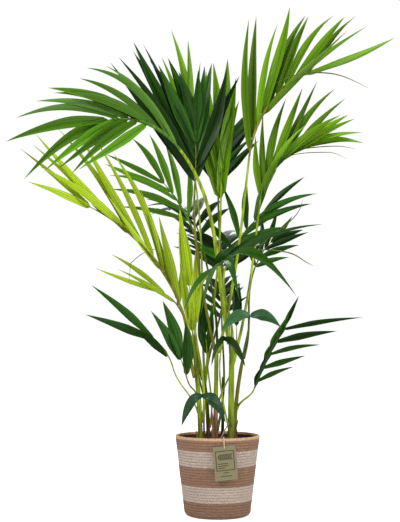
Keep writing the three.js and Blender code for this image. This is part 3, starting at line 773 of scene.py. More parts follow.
def stations_along(points, radii):
    """Frames for a tube through points: each a matrix that carries a unit circle to its place."""
    frames = []
    side = None
    previous = None
    for number, point in enumerate(points):
        before = points[max(0, number - 1)]
        after = points[min(len(points) - 1, number + 1)]
        forward = (after - before).normalized()
        if side is None:
            side = forward.orthogonal().normalized()
        else:
            side = previous.rotation_difference(forward) @ side
        side = (side - forward * side.dot(forward)).normalized()
        up = forward.cross(side)
        radius = radii[number]
        columns = (side * radius, up * radius, forward * radius, point)
        frames.append(Matrix([column.to_4d() for column in columns]).transposed())
        frames[-1][3] = (0, 0, 0, 1)
        previous = forward
    return frames


def sweep(bm, points, radii, sides, material=0, shape=None):
    """A closed tube: a circle extruded from each place to the next. shape changes a ring's radius
    by its station and angle."""
    frames = stations_along(points, radii)
    faces_before = len(bm.faces)
    ring = bmesh.ops.create_circle(
        bm, cap_ends=True, segments=sides, radius=1, matrix=frames[0],
    )["verts"]
    cap = ring[0].link_faces[0]
    edges = list(cap.edges)
    rings = [ring]
    for before, after in zip(frames, frames[1:]):
        grown = bmesh.ops.extrude_edge_only(bm, edges=edges)["geom"]
        ring = [item for item in grown if isinstance(item, bmesh.types.BMVert)]
        edges = [item for item in grown if isinstance(item, bmesh.types.BMEdge)]
        bmesh.ops.transform(bm, matrix=after @ before.inverted(), verts=ring)
        rings.append(ring)
    bmesh.ops.holes_fill(bm, edges=edges, sides=sides)
    if shape:
        for number, (ring, place) in enumerate(zip(rings, frames)):
            back = place.inverted()
            for vert in ring:
                local = back @ vert.co
                local *= shape(number, math.atan2(local.y, local.x))
                vert.co = place @ local
    bm.faces.ensure_lookup_table()
    for face in bm.faces[faces_before:]:
        face.material_index = material


def bezier(foot, first, second, end, share):
    """A point of a cubic curve."""
    rest = 1 - share
    return (foot * rest ** 3 + first * 3 * rest ** 2 * share
            + second * 3 * rest * share ** 2 + end * share ** 3)


def lerp(start, end, share):
    """The value at a share of the way from start to end."""
    return start + (end - start) * share


# Stage

FLOOR_SIDE = 60.0
FLOOR_COLOUR = (0.6, 0.6, 0.6)
FLOOR_GLOW = 0.3
FLOOR_GLOW_SEEN = 0.8
CAMERA_PLACE = (-0.044, -2.70, 0.45)
SENSOR_LONG_SIDE = 36.0
LIGHT_AIM = Vector((0, 0, 0.6))
# Soft lights: where each stands, how wide it is, and the setting that holds its power.
LIGHTS = {
    "key": ((-1.9, -2.6, 2.6), 1.6, "key_power"),
    "fill": ((2.6, -1.6, 1.6), 2.2, "fill_power"),
    "back": ((0.6, 2.4, 2.4), 2.0, "fill_power"),
}
WHITE = (1, 1, 1, 1)


class PALM_OT_stage(Operator):
    """Makes the floor, the even sky, the soft lights and the camera."""

    bl_idname = "palm.stage"
    bl_label = "Stage"

    def execute(self, context):
        choice = settings("stage")
        make_floor()
        make_sky(choice.sky, choice.sky_light)
        for name, (place, side, power) in LIGHTS.items():
            make_light(name, place, side, getattr(choice, power))
        make_camera(choice.lens, choice.camera_pitch)
        context.scene.view_settings.view_transform = "Standard"
        return {"FINISHED"}


def camera_ray(tree):
    """1 where the camera looks straight at a thing, 0 where only its light arrives."""
    return add_node(tree, "LightPath").outputs["Is Camera Ray"]


def make_floor():
    """A plain pale floor, which the camera sees a little brighter than the light that it gives."""
    bm = new_mesh()
    bmesh.ops.create_grid(bm, x_segments=1, y_segments=1, size=FLOOR_SIDE / 2, calc_uvs=True)
    paint = mottled_material("floor_paint", FLOOR_COLOUR, sheen=0)
    tree = paint.node_tree
    glow = add_range(tree, camera_ray(tree), 0, 1, min=FLOOR_GLOW, max=FLOOR_GLOW_SEEN)
    set_inputs(tree, tree.nodes["Principled BSDF"], {
        "Emission Color": WHITE, "Emission Strength": glow,
    })
    floor = add_mesh(bm, "floor", [paint])


def make_sky(seen, light):
    """A white background, and even white light of another strength from all round."""
    world = bpy.data.worlds.new("studio")
    world.use_nodes = True
    tree = world.node_tree
    even = tree.nodes["Background"]
    set_inputs(tree, even, {"Color": WHITE, "Strength": light})
    backdrop = add_node(tree, "Background", {"Color": WHITE, "Strength": seen})
    choose = add_node(tree, "MixShader", {
        "Fac": camera_ray(tree), 1: even.outputs["Background"], 2: backdrop.outputs["Background"],
    })
    set_inputs(tree, tree.nodes["World Output"], {"Surface": choose.outputs["Shader"]})
    bpy.context.scene.world = world


def make_light(name, place, side, power):
    """A large soft light that faces the plant."""
    light = bpy.data.lights.new(name, "AREA")
    light.shape = "SQUARE"
    light.size = side
    light.energy = power
    lamp = add_object(name, light)
    lamp.location = place
    lamp.rotation_euler = (LIGHT_AIM - Vector(place)).to_track_quat("-Z", "Y").to_euler()


def make_camera(lens, pitch):
    """The camera in front of the plant, looking a little up."""
    data = bpy.data.cameras.new("camera")
    data.lens = lens
    data.sensor_width = SENSOR_LONG_SIDE
    camera = add_object("camera", data)
    camera.location = CAMERA_PLACE
    camera.rotation_euler = (math.radians(90) + pitch, 0, 0)
    bpy.context.scene.camera = camera


# Basket

def rope_rows():
    """How many rows of rope the wall has."""
    return sum(count for _, count in BANDS)


def wall_radius(height):
    """Radius of the basket's outer face at a height."""
    if height < FOOT_ROUND:
        return FOOT_RADIUS - FOOT_ROUND + math.sqrt(FOOT_ROUND ** 2 - (FOOT_ROUND - height) ** 2)
    climb = (height - FOOT_ROUND) / (BASKET_HEIGHT - FOOT_ROUND - RIM_EDGE_HEIGHT)
    return lerp(FOOT_RADIUS, RIM_RADIUS, min(1, climb))


def inner_radius(height):
    """Radius of the basket's inner face at a height."""
    return lerp(FOOT_RADIUS, RIM_RADIUS, height / BASKET_HEIGHT) - BASKET_WALL


def rope_section(groove):
    """Place across one row of rope, from -1 to 1, and depth below its crown."""
    for step in range(ROPE_POINTS):
        turn = math.pi * (step / ROPE_POINTS - 0.5)
        yield math.sin(turn), groove * (1 - math.cos(turn))


def basket_profile(groove):
    """Radius and height from the middle of the underside, up the outside, over the rim, down the
    inside to the middle of the floor."""
    row = BASKET_HEIGHT / rope_rows()
    points = [(0, 0)]
    foot = FOOT_RADIUS - FOOT_ROUND
    rings = round(foot / row)
    for ring in range(rings):
        for across, depth in rope_section(groove / 2):
            points.append(((ring + 0.5 + across / 2) * foot / rings, depth))
    for number in range(rope_rows() - 1):
        for across, depth in rope_section(groove):
            height = max(LOWEST_ROPE, (number + 0.5 + across / 2) * row)
            points.append((wall_radius(height) - depth, height))
    lip_low = BASKET_HEIGHT - row
    middle = (wall_radius(lip_low) + inner_radius(lip_low)) / 2
    half = RIM_RADIUS - middle
    for step in range(LIP_STEPS + 1):
        turn = math.pi * step / LIP_STEPS
        height = BASKET_HEIGHT - row / 2 + row / 2 * math.sin(turn)
        points.append((middle + half * math.cos(turn), height))
    for number in range(1, INSIDE_ROWS):
        for across, depth in rope_section(groove):
            height = BASKET_HEIGHT - (number + 0.5 + across / 2) * row
            points.append((inner_radius(height) + depth, height))
    points.append((inner_radius(BASKET_FLOOR), BASKET_FLOOR))
    points.append((0, BASKET_FLOOR))
    return points


def band_of(height):
    """The name of the band that a height on the wall belongs to."""
    row = int((BASKET_HEIGHT - height) / BASKET_HEIGHT * rope_rows())
    for name, count in BANDS:
        if row < count:
            return name
        row -= count
    return BANDS[-1][0]


def spin_profile(bm, points, steps):
    """Spins a profile of radius and height about +Z."""
    verts = [bm.verts.new((radius, 0, height)) for radius, height in points]
    edges = [bm.edges.new(pair) for pair in zip(verts, verts[1:])]
    bmesh.ops.spin(
        bm, geom=verts + edges, cent=(0, 0, 0), axis=(0, 0, 1), angle=2 * math.pi,
        steps=steps, use_merge=True,
    )
    clean_up(bm, SPIN_MERGE)


class PALM_OT_basket(Operator):
    """Spins the basket from its rows of rope, and colours them in bands."""

    bl_idname = "palm.basket"
    bl_label = "Basket"

    def execute(self, context):
        choice = settings("basket")
        colours = {name: getattr(choice, name) for name in BASKET_COLOURS}
        bm = new_mesh()
        spin_profile(bm, basket_profile(choice.rope_groove / MM), BASKET_SPIN_STEPS)
        for face in bm.faces:
            # Inward faces between the floor and the rim take the dark inside colour, painted shade; the
            # others take their band's colour.
            centre = face.calc_center_median()
            outward = face.normal.dot(Vector((centre.x, centre.y, 0))) > 0
            level = BASKET_FLOOR - FLOOR_INSIDE < centre.z < BASKET_HEIGHT - RIM_INSIDE
            name = "inside" if level and not outward else band_of(centre.z)
            face.material_index = BASKET_COLOURS.index(name)
        for vert in bm.verts:
            if vert.co.z > FOOT_ROUND:
                around = Vector((vert.co.x, vert.co.y, 0)).normalized()
                spot = around * WOBBLE_AROUND + Vector((0, 0, vert.co.z / WOBBLE_HEIGHT))
                vert.co += around * noise.noise(spot) * BASKET_WOBBLE
        ropes = [rope_material(f"rope_{name}", colour) for name, colour in colours.items()]
        finish_piece(bm, "basket_rope", ropes, ("basket",))
        return {"FINISHED"}


# Soil

class PALM_OT_soil(Operator):
    """Makes the uneven peat in the basket, with loose crumbs on it."""

    bl_idname = "palm.soil"
    bl_label = "Soil"

    def execute(self, context):
        colour = settings("basket").soil
        bm = new_mesh()
        edge = inner_radius(SOIL_TOP) - SEAT_GAP
        low = inner_radius(SOIL_TOP - SOIL_SKIRT) - SEAT_GAP
        profile = [(0, SOIL_TOP - SOIL_SKIRT), (low, SOIL_TOP - SOIL_SKIRT)]
        profile += [(edge * step / SOIL_RINGS, SOIL_TOP) for step in range(SOIL_RINGS, -1, -1)]
        spin_profile(bm, profile, SOIL_SPIN_STEPS)
        for vert in bm.verts:
            if vert.co.z > SOIL_TOP - SOIL_SKIRT / 2:
                grit = GRIT_SHARE * noise.noise(vert.co / GRIT_SIZE)
                lump = noise.noise(vert.co / LUMP_SIZE) + grit
                vert.co.z += (lump - SOIL_MIDDLE) * SOIL_RELIEF
        dice = random.Random(SOIL_SEED)
        for _ in range(CRUMB_COUNT):
            turn = dice.uniform(0, 2 * math.pi)
            reach = (edge - CRUMB_MARGIN) * math.sqrt(dice.random())
            level = SOIL_TOP - CRUMB_SINK
            add_crumb(bm, dice, Vector((reach * math.cos(turn), reach * math.sin(turn), level)))
        peat = mottled_material("peat", colour)
        bark = mottled_material("peat_bark", scaled(colour, BARK_LIGHTER))
        finish_piece(bm, "soil_peat", [peat, bark], ("soil",))
        return {"FINISHED"}


def add_crumb(bm, dice, place):
    """One flattened crumb of peat or bark."""
    size = dice.uniform(*CRUMB_RADIUS)
    turn = Matrix.Rotation(dice.uniform(0, math.pi), 4, "Z")
    turn @= Matrix.Rotation(dice.uniform(-CRUMB_TILT, CRUMB_TILT), 4, "X")
    length = dice.uniform(*CRUMB_LENGTH)
    flatten = Matrix.Diagonal((length, dice.uniform(*CRUMB_WIDTH), CRUMB_HEIGHT, 1))
    before = len(bm.faces)
    bmesh.ops.create_icosphere(
        bm, subdivisions=1, radius=size, matrix=Matrix.Translation(place) @ turn @ flatten,
    )
    bm.faces.ensure_lookup_table()
    kind = 1 if dice.random() < BARK_SHARE else 0
    for face in bm.faces[before:]:
        face.material_index = kind


# Tag

def add_bar(bm, centre, width, height):
    """A flat printed bar on the tag's face."""
    size = Matrix.Diagonal((width, PRINT_DEPTH, height, 1))
    bmesh.ops.create_cube(bm, size=1, matrix=Matrix.Translation(centre) @ size)


class PALM_OT_tag(Operator):
    """Gives the card its finish, and lays a ruled frame with a plain leaf sprig on it."""

    bl_idname = "palm.tag"
    bl_label = "Tag"

    def execute(self, context):
        choice = settings("basket")
        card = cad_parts["tag"]
        paper = mottled_material("tag_card", choice.card)
        card.data.materials.clear()
        card.data.materials.append(paper)
        bm = new_mesh()
        depth = -PRINT_DEPTH / 2 - PRINT_GAP
        top = TAG_HOLE_DROP - PANEL_DROP
        for share in (-1, 1):
            upright = (share * PANEL_WIDTH / 2, depth, top - PANEL_HEIGHT / 2)
            level = (0, depth, top - PANEL_HEIGHT * (0.5 - share / 2))
            add_bar(bm, upright, RULE_WIDTH, PANEL_HEIGHT)
            add_bar(bm, level, PANEL_WIDTH + RULE_WIDTH, RULE_WIDTH)
        for drop, share in PANEL_RULES:
            width = (PANEL_WIDTH - 2 * PANEL_MARGIN) * share
            middle = width / 2 - PANEL_WIDTH / 2 + PANEL_MARGIN
            add_bar(bm, (middle, depth, top - drop), width, RULE_WIDTH)
        for drop, share in FOOT_RULES:
            add_bar(bm, (0, depth, TAG_HOLE_DROP - drop), PANEL_WIDTH * share, RULE_WIDTH)
        add_sprig(bm, Vector((-SPRIG_LENGTH / 2, depth, top - SPRIG_DROP)))
        bmesh.ops.transform(bm, matrix=TAG_PLACE, verts=bm.verts)
        ink = mottled_material("tag_ink", choice.ink)
        finish_piece(bm, "tag_print", [ink], (), smooth=False)
        return {"FINISHED"}


def add_sprig(bm, foot):
    """A plain sprig that lies level: a stalk with leaves above and below."""
    add_bar(bm, foot + Vector((SPRIG_LENGTH / 2, 0, 0)), SPRIG_LENGTH, SPRIG_STALK)
    for number in range(SPRIG_LEAVES):
        for side in (-1, 1):
            along = (number + SPRIG_START) * SPRIG_LENGTH / SPRIG_LEAVES
            place = Matrix.Translation(foot + Vector((along, 0, side * SPRIG_REACH)))
            lean = Matrix.Rotation(side * SPRIG_LEAN, 4, "Y")
            size = Matrix.Diagonal((*SPRIG_LEAF, 1))
            bmesh.ops.create_uvsphere(
                bm, u_segments=SPRIG_SIDES, v_segments=SPRIG_RINGS, radius=1,
                matrix=place @ lean @ size,
            )


def twine_route():
    """Points of the twine, from the tag's hole over the rim and down inside it."""
    over = BASKET_HEIGHT + TWINE_RADIUS
    outside = RIM_RADIUS + TWINE_RADIUS
    inside = inner_radius(BASKET_HEIGHT) - TWINE_CLEAR
    hole = TAG_TOP_Z - TAG_HOLE_DROP
    places = (
        (-TAG_FACE + TAG_THICKNESS, hole),
        (-TAG_FACE - TWINE_SLACK, hole + TWINE_END_BEND),
        (-outside - TWINE_SLACK, (hole + over) / 2),
        (-outside, over - TWINE_DROP),
        (-outside + TWINE_SLACK, over),
        (-inside, over),
        (-inside + TWINE_END_BEND, over - TWINE_END_DROP),
    )
    turn = Matrix.Rotation(TAG_SLANT, 4, "Z")
    return [turn @ Vector((0, y, z)) for y, z in places]


def smooth_points(points, steps):
    """Points of a curve through the given points, each stretch cut into steps."""
    made = []
    for number in range(len(points) - 1):
        before = points[max(0, number - 1)]
        start, end = points[number], points[number + 1]
        after = points[min(len(points) - 1, number + 2)]
        for step in range(steps):
            share = step / steps
            first = start + (end - before) / 6
            second = end - (after - start) / 6
            made.append(bezier(start, first, second, end, share))
    return [*made, points[-1]]


class PALM_OT_twine(Operator):
    """Twists the two strands of the tag's twine."""

    bl_idname = "palm.twine"
    bl_label = "Twine"

    def execute(self, context):
        route = smooth_points(twine_route(), TWINE_STEPS)
        frames = stations_along(route, [1] * len(route))
        bm = new_mesh()
        for strand in (0, math.pi):
            points = []
            gone = 0
            for number, place in enumerate(frames):
                gone += (route[number] - route[max(0, number - 1)]).length
                turn = strand + 2 * math.pi * gone / TWINE_PITCH
                points.append(place @ (Vector((math.cos(turn), math.sin(turn), 0)) * TWINE_TWIST))
            sweep(bm, points, [TWINE_STRAND] * len(points), TWINE_SIDES)
        clean_up(bm, LIMB_MERGE)
        twine = mottled_material("twine_strands", settings("basket").twine)
        finish_piece(bm, "tag_twine", [twine], ("tag_string",))
        return {"FINISHED"}


# Stems and stalks

def stem_point(stem, share):
    """A point on a stem's line: straight up from the soil at first, then leaning to its top."""
    foot = Vector((*stem["foot"], SOIL_TOP + SEAT_GAP))
    top = Vector(stem["top"])
    middle = Vector((foot.x, foot.y, (foot.z + top.z) / 2))
    rest = 1 - share
    return foot * rest ** 2 + middle * 2 * rest * share + top * share ** 2


def stem_heading(stem, share):
    """The direction of a stem's line."""
    return (stem_point(stem, share + 0.001) - stem_point(stem, share - 0.001)).normalized()


def rib_frame(frond, share):
    """Point, direction, face and right-hand side of a frond's rib at a share of its length."""
    heading = math.radians(frond["heading"])
    rise = math.radians(frond["rise"])
    bend = math.radians(frond["fall"] - frond["rise"])
    slope = rise + bend * share
    run = frond["rib"] / bend * (math.sin(slope) - math.sin(rise))
    climb = -frond["rib"] / bend * (math.cos(slope) - math.cos(rise))
    ahead = Vector((math.cos(heading), math.sin(heading), 0))
    along = ahead * math.cos(slope) + UP * math.sin(slope)
    flat_face = UP * math.cos(slope) - ahead * math.sin(slope)
    flat_right = along.cross(flat_face)
    roll = math.radians(frond["roll"])
    face = flat_face * math.cos(roll) + flat_right * math.sin(roll)
    right = along.cross(face)
    point = Vector(frond["base"]) + ahead * run + UP * climb
    return point, along, face, right


def petiole_points(frond):
    """Points of a stalk from inside its stem to the foot of the rib."""
    stem = STEMS[frond["stem"]]
    height = (frond["at"] - SOIL_TOP) / (stem["top"][2] - SOIL_TOP)
    side = math.radians(frond["side"])
    out = Vector((math.cos(side), math.sin(side), 0))
    foot = stem_point(stem, height) + out * stem["radius"][1] * PETIOLE_OFFSET
    point, along, _, _ = rib_frame(frond, 0)
    end = point - along * SEAT_GAP
    reach = (end - foot).length * PETIOLE_REACH
    start = stem_heading(stem, height) * math.cos(PETIOLE_LEAN) + out * math.sin(PETIOLE_LEAN)
    return [
        bezier(foot, foot + start * reach, end - along * reach, end, step / PETIOLE_STATIONS)
        for step in range(PETIOLE_STATIONS + 1)
    ]


# Kinds of skin on the stems, and for each stem the kind it has above and below, and how far up
# the lower one goes. The shade skin is a near-black olive, which is painted shade.
STEM_SKINS = ("green", "olive", "sheath", "twig", "shade")
STEM_KINDS = {
    "a": ("green", "olive", 70), "b": ("olive", "sheath", 50), "c": ("green", "sheath", 76),
    "d": ("green", "olive", 24), "e": ("olive", "sheath", 20),
}

# Thin shoots between the stems: points, radius at the foot and skin. The second, in the shade
# skin, is a dark tube of painted shade in the dark gap between stems c and d.
SHOOTS = (
    (((6, -30, 186), (14, -32, 206), (28, -34, 232)), 2.2, "twig"),
    (((12, 2, 186), (14, 4, 250), (13, 8, 345)), 4.4, "shade"),
    (((-32, 4, 186), (-34, 4, 230), (-31, 8, 320)), 2.6, "olive"),
    (((-12, -18, 186), (-12, -20, 226), (-14, -20, 262)), 3.0, "sheath"),
    (((40, -2, 186), (44, -4, 208), (52, -8, 238)), 3.0, "sheath"),
)


def add_stem(bm, name):
    """One stem, with slanting rings where its old sheaths ended."""
    stem = STEMS[name]
    length = stem["top"][2] - SOIL_TOP
    count = round(length / STEM_RING)
    points = [stem_point(stem, step / count) for step in range(count + 1)]
    points[0].z -= STEM_SINK
    radii = []
    for step in range(count + 1):
        left = length * (1 - step / count)
        taper = lerp(STEM_TOP_SHARE, 1, min(1, left / STEM_TOP_TAPER))
        radii.append(lerp(*stem["radius"], step / count) * taper)
    shift = stem["foot"][0] / SCAR_SHIFT

    def sheath(number, turn):
        level = number * STEM_RING + SCAR_SLANT * math.cos(turn - shift)
        share = (level / SCAR_SPACING) % 1
        ridge = STEM_RIDGE * math.sin(turn * STEM_RIDGES + shift)
        return 1 + SCAR_DEPTH * (0.5 - share) + ridge

    first = len(bm.faces)
    sweep(bm, points, radii, STEM_SIDES, shape=sheath)
    skin, low_skin, low_end = STEM_KINDS[name]
    for face in bm.faces[first:]:
        centre = face.calc_center_median()
        height = centre.z - SOIL_TOP + SKIN_DRIFT * noise.noise(centre / SKIN_PATCH)
        kind = low_skin if height < low_end else skin
        face.material_index = STEM_SKINS.index(kind)


def add_stubs(bm):
    """Dry sheath stubs that stand round the stems' feet."""
    dice = random.Random(STUB_SEED)
    feet = list(STEMS.values())
    shares = [step / STUB_STEPS for step in range(STUB_STEPS + 1)]
    radii = [lerp(*STUB_RADIUS, share ** STUB_TAPER) for share in shares]
    for number in range(STUB_COUNT):
        stem = feet[number % len(feet)]
        turn = dice.uniform(0, 2 * math.pi)
        out = Vector((math.cos(turn), math.sin(turn), 0))
        foot = Vector((*stem["foot"], SOIL_TOP - STEM_SINK)) + out * (stem["radius"][0] + STUB_GAP)
        height = dice.uniform(*STUB_HEIGHT)
        lean = dice.uniform(*STUB_LEAN)
        points = [foot + UP * height * share + out * height * lean * share ** 2 for share in shares]
        sweep(bm, points, radii, SHOOT_SIDES, material=STEM_SKINS.index("sheath"))


def add_shoot(bm, points, radius, skin):
    """A thin shoot through some points, which narrows to its end."""
    route = smooth_points([Vector(point) for point in points], SHOOT_STEPS)
    shares = [(step / len(route)) ** SHOOT_TAPER for step in range(len(route))]
    radii = [lerp(radius, SHOOT_END, share) for share in shares]
    sweep(bm, route, radii, SHOOT_SIDES, material=STEM_SKINS.index(skin))


class PALM_OT_stems(Operator):
    """Makes the stems with their slanting sheath rings, the dry stubs at their feet, and the thin
    shoots between them, one of which is a dark tube of painted shade."""

    bl_idname = "palm.stems"
    bl_label = "Stems"

    def execute(self, context):
        choice = settings("plant")
        bm = new_mesh()
        for name in STEMS:
            add_stem(bm, name)
        add_stubs(bm)
        for points, radius, skin in SHOOTS:
            add_shoot(bm, points, radius, skin)
        clean_up(bm, LIMB_MERGE)
        # The shade skin is the olive at 0.3 of its brightness: painted shade.
        colours = {
            "green": scaled(choice.stalk, 0.75), "olive": choice.olive, "sheath": choice.sheath,
            "twig": choice.twig, "shade": scaled(choice.olive, 0.3),
        }
        skins = [stalk_material(f"stem_{kind}", colours[kind]) for kind in STEM_SKINS]
        finish_piece(bm, "stem_sheaths", skins, [f"stem_{name}" for name in STEMS])
        return {"FINISHED"}


STALK_KINDS = ("green", "olive", "brown", "dark", "leaf")

# Thin leaf ends that have dried and curled: points and thickest radius.
WISPS = (
    (((150, -16, 1095), (212, -20, 1118), (276, -20, 1121), (328, -20, 1110), (386, -20, 1082)), 1.9),
    (((150, 22, 914), (205, 20, 928), (261, 20, 936), (319, 20, 938), (360, 20, 931)), 1.5),
    (((150, 22, 900), (205, 18, 917), (261, 20, 922), (303, 20, 920), (334, 20, 905)), 1.2),
    (((90, 40, 640), (117, 40, 686), (177, 40, 733), (211, 40, 769), (224, 40, 803)), 1.5),
    (((60, -80, 648), (110, -80, 661), (179, -80, 653), (218, -80, 631), (236, -80, 621)), 1.7),
    (((-120, 16, 664), (-172, 10, 668), (-218, 10, 637), (-223, 10, 616), (-226, 10, 581)), 1.0),
)


def add_stalk(bm, name):
    """A frond's stalk, a sheath at its foot, and its rib in one tube."""
    frond = FRONDS[name]
    points = petiole_points(frond)
    gone = 0
    radii = []
    for number, point in enumerate(points):
        gone += (point - points[max(0, number - 1)]).length
        swell = 1 + SHEATH_SWELL * max(0, 1 - gone / SHEATH_LENGTH) ** 2
        swell *= STALK_SWELL.get(name, 1)
        radii.append(lerp(*frond["thick"], number / PETIOLE_STATIONS) * swell)
    for step in range(1, RIB_STATIONS + 1):
        share = step / RIB_STATIONS
        points.append(rib_frame(frond, share)[0])
        swell = lerp(1, RIB_SWELL.get(name, 1), math.sin(math.pi * share))
        radii.append(lerp(RIB_ROOT_RADIUS, RIB_TIP_RADIUS, share) * swell)

    def channel(number, turn):
        return 1 - STALK_CHANNEL * max(0, math.cos(turn)) ** STALK_CHANNEL_POWER

    kind = STALK_TONES.get(name, "green")
    rib_kind = RIB_TONES.get(name, kind)
    rib_faces = len(bm.faces) + 1 + PETIOLE_STATIONS * STALK_SIDES
    sweep(bm, points, radii, STALK_SIDES, material=STALK_KINDS.index(kind), shape=channel)
    for face in bm.faces[rib_faces:]:
        face.material_index = STALK_KINDS.index(rib_kind)


def add_wisp(bm, points, radius):
    """A thin dry leaf end, which narrows from its middle both ways."""
    route = smooth_points([Vector(point) for point in points], WISP_STEPS)
    turns = [math.pi * lerp(WISP_END, 1, step / len(route)) for step in range(len(route))]
    radii = [radius * max(WISP_END, math.sin(turn)) for turn in turns]
    sweep(bm, route, radii, WISP_SIDES, material=STALK_KINDS.index("brown"))


class PALM_OT_stalks(Operator):
    """Makes the long stalks of the fronds with their ribs, and the dried leaf ends."""

    bl_idname = "palm.stalks"
    bl_label = "Stalks"

    def execute(self, context):
        choice = settings("plant")
        bm = new_mesh()
        for name in FRONDS:
            add_stalk(bm, name)
        for points, radius in WISPS:
            add_wisp(bm, points, radius)
        clean_up(bm, LIMB_MERGE)
        colours = {
            "green": choice.stalk, "olive": choice.olive, "brown": choice.brown,
            "dark": choice.dark, "leaf": choice.mid,
        }
        skins = [stalk_material(f"stalk_{kind}", colours[kind]) for kind in STALK_KINDS]
        finish_piece(bm, "frond_stalks", skins, [f"petiole_{name}" for name in FRONDS])
        return {"FINISHED"}


# Leaves

def make_dice(seed):
    """Seeded numbers between 0 and 1."""
    state = seed * 7919
    while True:
        state = state * 16807 % 2147483647
        yield state / 2147483647


def plan_side(frond, side, dice):
    """The leaflets of one side of a frond, from its foot to its end."""
    count, start, first_angle, last_angle, sag, *reach = frond["left" if side < 0 else "right"]
    reach = reach[0] if reach else 1
    early, middle, late = frond["leaf"]

    def jitter(spread):
        return spread * (next(dice) - 0.5)

    leaflets = []
    for number in range(count):
        even = number / (count - 1) if count > 1 else 1
        share = lerp(start, LAST_LEAFLET_AT, even)
        length = (early * (1 - share) * (1 - 2 * share) + middle * 4 * share * (1 - share)
                  + late * share * (2 * share - 1))
        leaflets.append({
            "side": side,
            "share": share,
            "length": length * reach * (1 + jitter(LENGTH_SPREAD)),
            "angle": lerp(first_angle, last_angle, even) + jitter(ANGLE_SPREAD),
            "sag": sag * (1 + jitter(SAG_SPREAD)),
        })
    return leaflets


def leaflet_axes(frond, leaflet, turn):
    """Foot, first direction and width direction of a leaflet that is turned by some degrees."""
    point, along, face, right = rib_frame(frond, leaflet["share"])
    lift = math.radians(frond["lift"] + turn)
    outward = right * leaflet["side"] * math.cos(lift) + face * math.sin(lift)
    angle = math.radians(leaflet["angle"])
    first = along * math.cos(angle) + outward * math.sin(angle)
    return point, first, face.cross(first).normalized()


def leaflet_point(point, first, leaflet, share):
    """A point on a leaflet's midline."""
    length = leaflet["length"]
    return point + first * length * share - UP * length * leaflet["sag"] * share ** 2


def tip_tree(name):
    """The corners of a frond's solid, in millimetres, for finding its leaflets' tips."""
    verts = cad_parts[f"frond_{name}"].data.vertices
    tree = kdtree.KDTree(len(verts))
    for vert in verts:
        tree.insert(vert.co / MM, vert.index)
    tree.balance()
    return tree


def placed_leaflets(name):
    """The leaflets that a frond's solid has, each turned as it is there."""
    frond = FRONDS[name]
    tree = tip_tree(name)
    dice = make_dice(frond["seed"])
    placed = []
    for leaflet in [*plan_side(frond, -1, dice), *plan_side(frond, 1, dice)]:
        for turn in TRIED_TURNS:
            point, first, _ = leaflet_axes(frond, leaflet, turn)
            if tree.find(leaflet_point(point, first, leaflet, 1))[2] < TIP_TOLERANCE:
                look = {"width": WIDTHS.get(name, 1), "foot": BROAD_FEET.get(name, BLADE_FOOT)}
                placed.append({**leaflet, **look, "turn": turn})
                break
    return placed


def in_between(leaflets):
    """A finer leaflet between each two that stand next to each other on one side."""
    finer = []
    for low, high in zip(leaflets, leaflets[1:]):
        if low["side"] == high["side"]:
            middle = {key: (low[key] + high[key]) / 2 for key in low}
            middle["length"] = min(low["length"], high["length"]) * FINER_LENGTH
            middle["width"] *= FINER_WIDTH
            finer.append(middle)
    return finer


def blade_width(share, foot):
    """Share of its full width that a leaflet has at a share of its length."""
    swell = lerp(foot, 1, min(1, share / BLADE_FULL_AT))
    swell *= lerp(BLADE_SEAT, 1, min(1, share / BLADE_SEAT_END))
    narrowing = max(0, share - BLADE_TAPER_AT) / (1 - BLADE_TAPER_AT)
    return swell * (1 - narrowing ** BLADE_TAPER_POWER)


def add_leaflet(bm, frond, leaflet, dice, materials):
    """One pleated blade, bent and twisted a little, in one shade with a dry tip here and there."""
    point, first, across = leaflet_axes(frond, leaflet, leaflet["turn"])
    length = leaflet["length"]
    width = frond["width"] * leaflet["width"] * dice.uniform(*WIDTH_SHARE)
    twist = math.radians(frond.get("twist", 0)) * leaflet["side"]
    twist += dice.uniform(-BLADE_TWIST, BLADE_TWIST)
    bend = dice.uniform(-BLADE_BEND, BLADE_BEND) * length
    arch = dice.uniform(*BLADE_ARCH) * length
    pleat = width * BLADE_PLEAT
    before = len(bm.faces)
    verts = bmesh.ops.create_grid(
        bm, x_segments=LEAF_COLUMNS, y_segments=LEAF_ROWS, size=1, calc_uvs=True,
    )["verts"]
    middle_line = {vert for vert in verts if abs(vert.co.x) < 0.01}
    for vert in middle_line:
        for edge in vert.link_edges:
            edge.smooth = edge.other_vert(vert) not in middle_line
    for vert in verts:
        share = (vert.co.y + 1) / 2
        place = -vert.co.x
        column = round((vert.co.x + 1) / 2 * LEAF_COLUMNS)
        heading = (first - UP * 2 * leaflet["sag"] * share).normalized()
        wide = (across - heading * across.dot(heading)).normalized()
        turn = Matrix.Rotation(twist * share, 3, heading)
        wide = turn @ wide
        upper = heading.cross(wide)
        half = width * blade_width(share, leaflet["foot"]) / 2
        swell = max(0, math.sin(math.pi * share))
        fold = -half * BLADE_FOLD * (1 - abs(place)) + arch * swell
        ripple = pleat * (1 if column % 2 else -1) * math.sqrt(swell)
        middle = leaflet_point(point, first, leaflet, share)
        vert.co = middle + wide * (half * place + bend * swell) + upper * (fold + ripple)
    bm.faces.ensure_lookup_table()
    # A shade at random: partly uneven tone, partly painted shade and highlight.
    shade = dice.choice(leaflet["shades"])
    dry = dice.random() < DRY_SHARE
    for face in bm.faces[before:]:
        face.material_index = shade
    if dry:
        tip = leaflet_point(point, first, leaflet, 1)
        for face in bm.faces[before:]:
            if (face.calc_center_median() - tip).length < length * (1 - DRY_TIP_FROM):
                face.material_index = materials - 1


